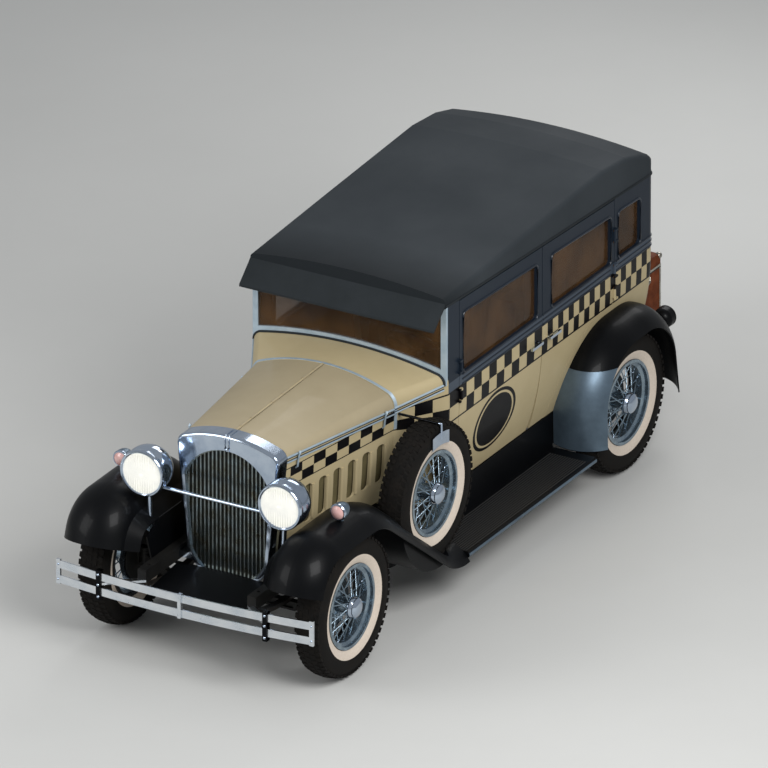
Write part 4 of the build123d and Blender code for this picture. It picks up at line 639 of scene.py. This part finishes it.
lines = [roundBack(lambda s, h=h: h) for h in trim["beltLines"]]
beads("beltMoulding_back", lines, trim["beltRound"], navyLacquer, "black_paint")
dripLine = roundBack(lambda s: dripHeight(s) + trim["dripLift"], trim["dripProud"], start=1292)
beads("roofDripMoulding", [dripLine], trim["drip"], visorCloth, "slate_top")
low, high = rearWindow["heights"]
half, rearX = rearWindow["half"], behind(bodyEnd) - rearWindow["proud"]
corners = [(-half, low), (half, low), (half, high), (-half, high)]
rearLoop = [(rearX, y, z) for y, z in roundedLoop(corners, rearWindow["corner"])]
beads("windowMoulding_back", [rearLoop], trim["windowRound"], navyLacquer, "black_paint", loop=True)

# Plated lines of the hood: side moulding, cowl band, and the clips that hold the lids. The upper pale bead is
# a painted highlight along the shoulder, the lower one is the moulding, and the two navy beads between them
# are dark lines of painted shade.
hoodTrim = {"beads": ((0.010, 0.0065, satinNickel), (0.001, 0.0028, navyLacquer),
                      (-0.013, 0.0028, navyLacquer), (-0.021, 0.005, satinNickel)),  # lift, radius, finish
            "proud": 0.002, "hinge": (0.007, 0.005), "clipStations": (120, 905), "clip": 0.0085,
            "clipLine": ((0, -0.002, -0.085), (0, 0.009, -0.075), (0, 0.013, -0.045),
                         (0, 0.017, -0.012), (4, 0.022, 0.008), (10, 0.020, 0.020))}


hood = {"span": (35, 1003), "sideY": (0.328, 0.468), "sideZ": (1.235, 1.180), "topZ": (1.336, 1.357),
        "footY": (0.300, 0.424), "wallY": (0.322, 0.462), "wallZ": (0.620, 1.050)}  # front and rear values
cowl = {"span": (1008, 1330), "sideY": (0.468, 0.640), "sideZ": (1.180, 1.250), "lowY": (0.462, 0.640),
        "lowZ": (1.05, 1.10), "browY": (0.428, 0.605), "browZ": (1.266, 1.305),
        "topZ": (1.356, 1.367), "bow": 0.011}


def valueAt(shell, key, station):
    return between(shell[key], shareOf(station, *shell["span"]))


def sideOf(shell, station):
    return valueAt(shell, "sideY", station), valueAt(shell, "sideZ", station)


sideRuns = ((hood, np.linspace(34, 1006, 14), 0.010), (cowl, np.linspace(1009, 1302, 8), 0.006))
for index, (lift, size, finish) in enumerate(hoodTrim["beads"]):
    lines = []
    for side in (1, -1):
        for shell, stations, drop in sideRuns:
            pairs = [(s, *sideOf(shell, s)) for s in stations]
            lines.append([(behind(s), side * (y + hoodTrim["proud"]), z - drop + lift) for s, y, z in pairs])
    beads(f"hoodSideMoulding_{index}", lines, size, finish, "chrome")
hingeLine = [(behind(s), 0, valueAt(hood, "topZ", s)) for s in np.linspace(33, 1004, 3)]
beads("hoodHingeCover", [hingeLine], hoodTrim["hinge"], creamLacquer, "cream_paint")
lines = []
for side in (1, -1):
    for station in hoodTrim["clipStations"]:
        y, z = sideOf(hood, station)
        lines.append([(behind(station + ds), side * (y + dy), z + dz) for ds, dy, dz in hoodTrim["clipLine"]])
beads("hoodClips", lines, (hoodTrim["clip"], hoodTrim["clip"] * 0.6), satinNickel, "chrome")


def cowlArch(station, grown):
    # half the cowl section from the side line up to the top centre
    y1, z1, y3, z3, top = [valueAt(cowl, k, station) for k in ("lowY", "lowZ", "browY", "browZ", "topZ")]
    y2, z2 = sideOf(cowl, station)
    arch = [(y1 + grown, z1), (y2 + grown, z2)]
    for step in range(1, 5):
        t = step / 5
        bow = cowl["bow"] * 4 * t * (1 - t)
        arch.append((y2 + (y3 - y2) * t + (bow + grown) * 0.9, z2 + (z3 - z2) * t + (bow + grown) * 0.5))
    rise = top - z3
    radius = (y3 * y3 + rise * rise) / (2 * rise)
    spread = math.asin(min(1.0, y3 / radius))
    for step in range(13):
        angle = spread * (1 - step / 12)
        arch.append(((radius + grown) * math.sin(angle), top - radius + (radius + grown) * math.cos(angle)))
    return arch


def mirrored(station, half):
    line = [(behind(station), y, z) for y, z in half]
    return line + [(x, -y, z) for x, y, z in reversed(line[:-1])]


def archBand(name, first, last, grown, sunk, material, slot):
    # a flat band bent over the cowl between two stations
    rims = ((first, grown), (last, grown), (last, -sunk), (first, -sunk))
    loops = [mirrored(station, cowlArch(station, out)) for station, out in rims]
    n = len(loops[0])
    points = [p for loop in loops for p in loop]
    faces = [(a * n + i, a * n + i + 1, b * n + i + 1, b * n + i)
             for a, b in ((0, 1), (1, 2), (2, 3), (3, 0)) for i in range(n - 1)]
    faces += [(0, n, 2 * n, 3 * n), (n - 1, 4 * n - 1, 3 * n - 1, 2 * n - 1)]
    return fit(tidyMesh(meshPiece(name, points, faces, material)), slot)


archBand("cowlJointBand", 1010, 1026, 0.003, 0.001, satinNickel, "chrome")
gasket = {"station": 1303, "round": 0.008, "grown": 0.002}  # black rubber under the windshield
gasketLine = mirrored(gasket["station"], cowlArch(gasket["station"], gasket["grown"])[1:])
beads("windshieldGasket", [gasketLine], gasket["round"], visorCloth, "black_paint")


def panelSheet(name, place, rows, columns, thick, material, slot):
    # a thin sheet over a grid of places
    points = [place(i / rows, j / columns) for i in range(rows + 1) for j in range(columns + 1)]
    wide = columns + 1
    starts = [i * wide + j for i in range(rows) for j in range(columns)]
    sheet = meshPiece(name, points, [(a, a + 1, a + wide + 1, a + wide) for a in starts], material)
    wall = sheet.modifiers.new("wall", "SOLIDIFY")
    wall.thickness, wall.offset = thick, 0.0
    sheet.data = baked(sheet)
    return fit(tidyMesh(sheet), slot)


# A sheet behind the louvres, cream darkened to olive as painted shade, and the splash apron between the frame
# horns.
louvreBacking = {"stations": (190, 950), "heights": (0.740, 1.012), "inset": 0.016, "thick": 0.002}
apron = {"x": (1.832, 2.150), "half": 0.330, "z": (0.470, 0.432), "crown": 0.022, "thick": 0.002}


def louvreBackingPlace(side):
    def place(u, v):
        station, z = between(louvreBacking["stations"], u), between(louvreBacking["heights"], v)
        ends = valueAt(hood, "footY", station), valueAt(hood, "wallY", station)
        return behind(station), side * (between(ends, shareOf(z, *hood["wallZ"])) - louvreBacking["inset"]), z
    return place


def apronPlace(u, v):
    crown = apron["crown"] * math.sin(math.pi * v) * (1 - u * u)
    return between(apron["x"], u), (2 * v - 1) * apron["half"], between(apron["z"], u) + crown


for sideName, side in hands:
    panelSheet(f"hoodLining_{sideName}", louvreBackingPlace(side), 8, 4, louvreBacking["thick"], louvreShadePaint, "cream_paint")
panelSheet("frontSplashApron", apronPlace, 8, 12, apron["thick"], blackLacquer, "black_paint")
print("mouldings laid")

# Grille fins between the bars, and a plain strap on the brow.
fins = {"each": 41, "pitch": 0.0065, "thick": 0.0016, "deep": 0.010, "x": behind(-49), "reach": 0.268,
        "gap": 0.010, "arch": (0.280, 1.050, 1.245), "chin": (0.244, 0.585, 0.420),
        "straight": 0.240, "lean": 0.465 / 0.036}
strap = {"round": 0.0045, "apart": 0.012, "studPlace": (behind(-74), 0, 1.252),
         "line": ((20, 1.3420), (-40, 1.3418), (-62, 1.3385), (-75.5, 1.318), (-78, 1.290),
                  (-79, 1.262), (-76, 1.246)),  # station, height
         "stud": [(0.0, 0.010), (0.009, 0.008), (0.013, 0.004), (0.014, 0.0), (0.0, 0.0)]}


def arcHeight(y, halfWidth, shoulder, crown):
    rise = crown - shoulder
    radius = (halfWidth ** 2 + rise ** 2) / (2 * abs(rise))
    drop = radius - math.sqrt(radius ** 2 - y ** 2)
    return crown - math.copysign(drop, rise)


rows = []
for index in range(-fins["each"], fins["each"] + 1):
    y = index * fins["pitch"]
    if abs(y) > fins["reach"]:
        continue
    high = arcHeight(y, *fins["arch"]) - fins["gap"]
    if abs(y) < fins["straight"]:
        low = arcHeight(y, *fins["chin"]) + fins["gap"]
    else:
        low = fins["chin"][1] + (abs(y) - fins["straight"]) * fins["lean"] + 2 * fins["gap"]
    rows.append(((fins["x"], y, (low + high) / 2), (0, 0, 1), (fins["deep"], fins["thick"], high - low)))
finSteel = surface(  # dim grey-brown metal
    "lacqueredGrilleFins", "#4c5658", "#4a4330", 0.4, 60, 3, 0.1, metallic=0.6)
scatter("grilleFins", rows, bar, finSteel, "polished_steel")
lines = [[(behind(s), side * strap["apart"], z) for s, z in strap["line"]] for side in (-1, 1)]
beads("radiatorStraps", lines, strap["round"], chromePlate, "chrome")
lathe("radiatorStrapStud", strap["stud"], strap["studPlace"], (1, 0, 0), chromePlate, "chrome")

# Lamps: fluted headlamp glasses, pink side lamps, red tail lamps, each in a ring.
flutes = {"each": 7, "pitch": 0.0155, "reach": 0.120, "front": 0.0475, "bow": 0.012, "bowReach": 0.126,
          "size": (0.004, 0.006)}
headPlace = (behind(-222), 0.452, 1.076)
fenderPlace = (behind(-22), 0.712, 1.022)
tailPlace = (behind(3772), 0.672, 0.695)
lampParts = (  # name, place, way, profile, finish, slot, sides
    ("headlampRim", headPlace, 1,
     [(0.124, 0.036), (0.1245, 0.043), (0.130, 0.0475), (0.1375, 0.046), (0.1425, 0.040), (0.144, 0.030),
      (0.141, 0.022), (0.1375, 0.020)], chromePlate, "chrome", 64),
    ("fenderLampLens", fenderPlace, 1,
     [(0.0, 0.052), (0.015, 0.0505), (0.030, 0.045), (0.041, 0.036), (0.043, 0.0335), (0.0, 0.0335)],
     pinkLens, "glass", 40),
    ("fenderLampRing", fenderPlace, 1,
     [(0.041, 0.033), (0.042, 0.038), (0.047, 0.038), (0.0515, 0.032), (0.0515, 0.022), (0.0495, 0.021)],
     chromePlate, "chrome", 40),
    ("tailLampLens", tailPlace, -1,
     [(0.0, 0.044), (0.02, 0.0425), (0.040, 0.037), (0.052, 0.0305), (0.0, 0.0295)], redLens, "glass", 40),
    ("tailLampRing", tailPlace, -1,
     [(0.050, 0.029), (0.051, 0.0345), (0.058, 0.0345), (0.0632, 0.027), (0.0632, 0.018), (0.0615, 0.017)],
     blackLacquer, "black_paint", 40),
)
rows = []
for side in (1, -1):
    x, y, z = headPlace
    for index in range(-flutes["each"], flutes["each"] + 1):
        offset = index * flutes["pitch"]
        tall = 2 * math.sqrt(flutes["reach"] ** 2 - offset ** 2)
        front = x + flutes["front"] - flutes["bow"] * (offset / flutes["bowReach"]) ** 2
        rows.append(((front, side * y + offset, z), (0, 0, 1), (*flutes["size"], tall)))
scatter("headlampFlutes", rows, bar, lampGlow, "glass")
for sideName, side in hands:
    for name, (x, y, z), way, profile, finish, slot, turns in lampParts:
        lathe(f"{name}_{sideName}", profile, (x, side * y, z), (way, 0, 0), finish, slot, sides=turns)

# Bolt heads on the bumper clamps and end plates.
bumper = {"x": behind(-610), "sweep": 0.056, "half": 0.843, "clamp": 0.546, "clampProud": 0.009, "end": 0.830,
          "endBack": 0.052, "clampHeights": (0.418, 0.492, 0.556), "endHeights": (0.448, 0.541),
          "clampBolt": (0.009, 0.009, 0.008), "endBolt": (0.007, 0.007, 0.006)}
clampX = bumper["x"] - bumper["sweep"] * (bumper["clamp"] / bumper["half"]) ** 2 + bumper["clampProud"]
endX = bumper["x"] - bumper["endBack"]
bolts = []
for side in (1, -1):
    for key, x in (("clamp", clampX), ("end", endX)):
        heights, size = bumper[key + "Heights"], bumper[key + "Bolt"]
        bolts += [((x, side * bumper[key], z), (1, 0, 0), size) for z in heights]
scatter("bumperBolts", bolts, dome, chromePlate, "chrome")

# Rubber ribs along the running boards, and a steel edge.
ribs = {"stations": (1222, 2600), "y": np.linspace(0.585, 0.815, 15), "z": 0.2835, "size": (0.0045, 0.0035)}
boardEdge = {"stations": (1217, 2683), "y": 0.8405, "z": 0.264, "size": (0.005, 0.011)}
ribRubber = surface("ribbedBoardRubber", "#1a1a1a", "#242322", 0.6, 80, 3, 0.3)  # matt dark grey
stations = np.linspace(*ribs["stations"], 3)
lines = [[(behind(s), side * y, ribs["z"]) for s in stations] for side in (1, -1) for y in ribs["y"]]
beads("runningBoardRibs", lines, ribs["size"], ribRubber, "black_paint", sides=6)
stations = np.linspace(*boardEdge["stations"], 4)
lines = [[(behind(s), side * boardEdge["y"], boardEdge["z"]) for s in stations] for side in (1, -1)]
beads("runningBoardEdge", lines, boardEdge["size"], steelBlue, "polished_steel", sides=12)
print("lamps, grille and boards dressed")

# Trunk binding: nickel strips, rivets, ball caps on the lid's corners, a black bead of painted shade in the
# joint under the lid, and drop handles.
trunk = {"x": (behind(4114), behind(3812)), "y": (-0.450, 0.450), "box": (0.480, 0.8348),
         "lid": (0.8355, 0.9085), "wide": 0.013, "thick": 0.0022, "rivet": (0.0028, 0.0028, 0.002),
         "cap": 0.021, "capInset": 0.008, "jointShade": 0.004, "handle": 0.006, "handleStation": 3892,
         "handleY": 0.4525, "handleZ": 0.790, "uprightEnd": 0.02, "levelEnd": 0.05,
         "drop": ((-70, 0.0, 0.038), (-69, 0.014, 0.030), (-60, 0.020, 0.012), (-38, 0.022, 0.003),
                  (0, 0.022, 0.0))}  # half a handle: station, reach, height
(trunkBack, trunkFront), (trunkRight, trunkLeft) = trunk["x"], trunk["y"]
trunkCorners = [(x, sx, y, sy) for x, sx in ((trunkBack, -1), (trunkFront, 1))
                for y, sy in ((trunkRight, -1), (trunkLeft, 1))]


def plateBox(points, faces, *pairs):
    start = len(points)
    (x0, x1), (y0, y1), (z0, z1) = [sorted(pair) for pair in pairs]
    points += [(x, y, z) for x in (x0, x1) for y in (y0, y1) for z in (z0, z1)]
    sheets = ((0, 1, 3, 2), (4, 6, 7, 5), (0, 4, 5, 1), (2, 3, 7, 6), (0, 2, 6, 4), (1, 5, 7, 3))
    faces += [tuple(start + i for i in sheet) for sheet in sheets]


def bindTrunk(name, heights, body, corners):
    points, faces, rivets = [], [], []
    t, w, rivet = trunk["thick"], trunk["wide"], trunk["rivet"]
    (z0, z1), top, end = heights, trunk["uprightEnd"], trunk["levelEnd"]
    for x, sx, y, sy in corners:  # upright corners
        plateBox(points, faces, (x, x + sx * t), (y + sy * t, y - sy * w), heights)
        plateBox(points, faces, (x, x - sx * w), (y, y + sy * t), heights)
        for z in np.linspace(z0 + top, z1 - top, 6):
            rivets.append(((x + sx * t, y - sy * w / 2, z), (sx, 0, 0), rivet))
            rivets.append(((x - sx * w / 2, y + sy * t, z), (0, sy, 0), rivet))
    # a level strip on the back and the two ends
    level, middle = (z0, z0 + w), z0 + w / 2
    plateBox(points, faces, (trunkBack - t, trunkBack), (trunkRight - t, trunkLeft + t), level)
    across = np.linspace(trunkRight + end, trunkLeft - end, 11)
    rivets += [((trunkBack - t, y, middle), (-1, 0, 0), rivet) for y in across]
    along = np.linspace(trunkBack + end, trunkFront - end, 4)
    for y, sy in ((trunkRight, -1), (trunkLeft, 1)):
        plateBox(points, faces, (trunkBack - t, trunkFront), (y, y + sy * t), level)
        rivets += [((x, y + sy * t, middle), (0, sy, 0), rivet) for x in along]
    fit(tidyMesh(meshPiece(name, points, faces, trunkBinding)), "polished_steel", body)
    scatter(name + "Rivets", rivets, dome, trunkBinding, "polished_steel", body)


bindTrunk("trunkBoxBinding", trunk["box"], "chassis", trunkCorners)
bindTrunk("trunkLidBinding", trunk["lid"], "trunk_cover", ())
inset, capZ = trunk["capInset"], trunk["lid"][1] - trunk["capInset"]
caps = [((x - sx * inset, y - sy * inset, capZ), (sx, sy, 1), (trunk["cap"],) * 3)
        for x, sx, y, sy in trunkCorners]
scatter("trunkCornerCaps", caps, dome, trunkBinding, "polished_steel", "trunk_cover")
# a black bead in the joint under the lid: painted shade
jointShadeZ = trunk["box"][1] - trunk["jointShade"]
jointShadeLine = [(trunkFront, trunkLeft, jointShadeZ), (trunkBack, trunkLeft, jointShadeZ),
            (trunkBack, trunkRight, jointShadeZ), (trunkFront, trunkRight, jointShadeZ)]
beads("trunkSealLine", [jointShadeLine], trunk["jointShade"], chassisBlack, "black_paint")
lines = []
for side in (1, -1):
    half = [(behind(trunk["handleStation"] + ds), side * (trunk["handleY"] + dy), trunk["handleZ"] + dz)
            for ds, dy, dz in trunk["drop"]]
    lines.append(half + [(2 * behind(trunk["handleStation"]) - x, y, z) for x, y, z in reversed(half[:-1])])
beads("trunkHandles", lines, trunk["handle"], trunkBinding, "polished_steel")
print("trunk bound")

# Padded benches: each swells from a slightly smaller block, then gets its sewn channels.
cushionWay, backWay = (0.0, 0.0, 1.0), (1.0, 0.0, 0.15)
pads = {  # the CAD seat, the profile as station and height in mm, and the way its face looks
    "frontCushion": ("front_seat", [(2274, 742), (1862, 742), (1862, 868), (2274, 853)], cushionWay),
    "frontBack": ("front_seat", [(2302, 744), (2368, 744), (2413, 1308), (2376, 1308)], backWay),
    "rearCushion": ("rear_seat", [(3409, 742), (2962, 742), (2962, 868), (3409, 853)], cushionWay),
    "rearBack": ("rear_seat", [(3437, 744), (3543, 744), (3588, 1388), (3511, 1388)], backWay),
}
padding = {"half": 0.486, "soften": 0.022, "voxel": 0.014, "pressure": 4.0, "frames": 20, "cap": 0.012,
           "channel": 0.0972, "groove": 0.010, "grooveWidth": 0.011}


def gathered(mesh, what):
    return np.array([getattr(v, what) for v in mesh.vertices], float).reshape(-1, 3)


def padBench(name, node, profile, face):
    line = [(behind(s), z / 1000) for s, z in profile]
    points = [(x, y, z) for y in (-padding["half"], padding["half"]) for x, z in line]
    faces = [(0, 1, 2, 3), (7, 6, 5, 4), (0, 4, 5, 1), (1, 5, 6, 2), (2, 6, 7, 3), (3, 7, 4, 0)]
    pad = tidyMesh(meshPiece(name, points, faces))
    soften = pad.modifiers.new("soften", "BEVEL")
    soften.width, soften.segments = padding["soften"], 4
    voxels = pad.modifiers.new("voxels", "REMESH")
    voxels.mode, voxels.voxel_size = "VOXEL", padding["voxel"]
    base = pad.data = baked(pad)
    rest = gathered(base, "co")
    cloth = pad.modifiers.new("stuffing", "CLOTH")
    cloth.settings.use_pressure = True
    cloth.settings.uniform_pressure_force = padding["pressure"]
    cloth.settings.effector_weights.gravity = 0.0
    for step in range(1, padding["frames"] + 1):
        scene.frame_set(step)
    moved = gathered(baked(pad), "co") - rest
    length = np.linalg.norm(moved, axis=1, keepdims=True)
    rest = rest + moved * np.minimum(1.0, padding["cap"] / np.maximum(length, 1e-9))
    scene.frame_set(1)
    base.vertices.foreach_set("co", rest.astype(np.float32).ravel())
    base.update()
    smooth = pad.modifiers.new("smooth", "SUBSURF")
    smooth.levels = smooth.render_levels = 1
    fine = pad.data = baked(pad)
    place, normal = gathered(fine, "co"), gathered(fine, "normal")
    facing = np.clip(normal @ np.array(Vector(face).normalized()), 0, 1) ** 2
    fromSeam = (place[:, 1] / padding["channel"] + 0.5) % 1.0 - 0.5
    groove = np.exp(-(fromSeam * padding["channel"] / padding["grooveWidth"]) ** 2)
    place -= normal * (groove * facing * padding["groove"])[:, None]
    fine.vertices.foreach_set("co", place.astype(np.float32).ravel())
    fine.materials.clear()
    fine.materials.append(seatHide)
    fine.shade_smooth()
    fit(pad, "seat_leather")
    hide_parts(node)


for name, (node, profile, face) in pads.items():
    padBench(name, node, profile, face)
    print("padded", name)

# Inside fittings seen through the glass: dials, gear lever and brake lever.
dials = {"x": behind(1372), "z": 1.215, "rows": ((0.0, 0.045), (0.115, 0.034), (-0.115, 0.034))}  # y, radius
for index, (y, r) in enumerate(dials["rows"]):
    centre = (dials["x"], y, dials["z"])
    ring = [(r - 0.004, 0.001), (r - 0.003, 0.007), (r, 0.009), (r + 0.005, 0.006), (r + 0.006, -0.001)]
    lathe(f"dialRing_{index}", ring, centre, (-1, 0, 0), chromePlate, "chrome")
    disc = [(0.0, 0.003), (r - 0.004, 0.003), (r - 0.003, 0.0)]
    lathe(f"dialFace_{index}", disc, centre, (-1, 0, 0), bakelite, "black_bakelite")
levers = {"round": 0.008, "lines": (
    ((1470, 0.02, 0.580), (1480, 0.02, 0.70), (1530, 0.03, 0.86), (1560, 0.035, 0.965)),
    ((1440, -0.09, 0.580), (1450, -0.09, 0.72), (1490, -0.09, 0.88)))}
lines = [[(behind(s), y, z) for s, y, z in line] for line in levers["lines"]]
beads("floorLevers", lines, levers["round"], chassisBlack, "frame_black")
knob = [(0.0, 0.042), (0.012, 0.040), (0.021, 0.030), (0.023, 0.019), (0.018, 0.006), (0.008, 0.0),
        (0.0, 0.0)]
lathe("gearKnob", knob, (behind(1560), 0.035, 0.962), (-0.25, 0.04, 0.95), bakelite, "black_bakelite")
print("inside fitted")

for shape in (dome, bar, lug):
    bpy.data.objects.remove(shape)

# Camera at the photograph's angle, far off so that the view is nearly parallel.
camera = {"azimuth": 120, "elevation": 25, "distance": 180.0, "target": (0.0464, 0.0, 0.9476),
          "across": 768 / 175, "sensor": 36.0, "reach": 1000.0}
azimuth, elevation = math.radians(camera["azimuth"]), math.radians(camera["elevation"])
level = math.cos(elevation)
back = Vector((math.sin(azimuth) * level, -math.cos(azimuth) * level, math.sin(elevation)))
lens = bpy.data.cameras.new("photoCamera")
lens.sensor_width = camera["sensor"]
lens.lens = camera["sensor"] * camera["distance"] / camera["across"]
lens.clip_end = camera["reach"]
viewer = bpy.data.objects.new("photoCamera", lens)
scene.collection.objects.link(viewer)
viewer.location = Vector(camera["target"]) + back * camera["distance"]
viewer.rotation_mode = "QUATERNION"
viewer.rotation_quaternion = (-back).to_track_quat("-Z", "Y")
scene.camera = viewer

# Pale floor, soft studio light.
studio = {"floor": "#c9c9c6", "floorShade": "#c4c4c1", "half": 60, "floorDrop": -0.0048,
          "sky": "#dfe2e6", "worldStrength": 0.5}
floorMaterial = surface(  # even pale grey
    "paleStudioFloor", studio["floor"], studio["floorShade"], 0.8, 3000, 20, 0.02)
quarters = ((-1, -1), (1, -1), (1, 1), (-1, 1))
points = [(sx * studio["half"], sy * studio["half"], studio["floorDrop"]) for sx, sy in quarters]
floor = meshPiece("studioFloor", points, [(0, 1, 2, 3)], floorMaterial)
lamps = {  # place, target, power, size
    "keyLight": ((4.5, 6.0, 6.5), (0, 0, 0.9), 600, 4.0),
    "fillLight": ((7.0, -4.5, 4.0), (0, 0, 0.9), 240, 4.0),
    "backLight": ((-6.5, -1.0, 5.0), (0, 0, 0.9), 170, 4.0),
}
for name, (place, target, power, size) in lamps.items():
    light = bpy.data.lights.new(name, "AREA")
    light.energy, light.size = power, size
    lamp = bpy.data.objects.new(name, light)
    scene.collection.objects.link(lamp)
    lamp.location = place
    lamp.rotation_mode = "QUATERNION"
    lamp.rotation_quaternion = (Vector(target) - Vector(place)).to_track_quat("-Z", "Y")
world = bpy.data.worlds.new("studioWorld")
scene.world = world
world.use_nodes = True
sky = {"Color": linear(studio["sky"]), "Strength": studio["worldStrength"]}
feed(world.node_tree, world.node_tree.nodes["Background"], sky)
scene.view_settings.view_transform = "Standard"
print("studio set")

bpy.context.view_layer.update()
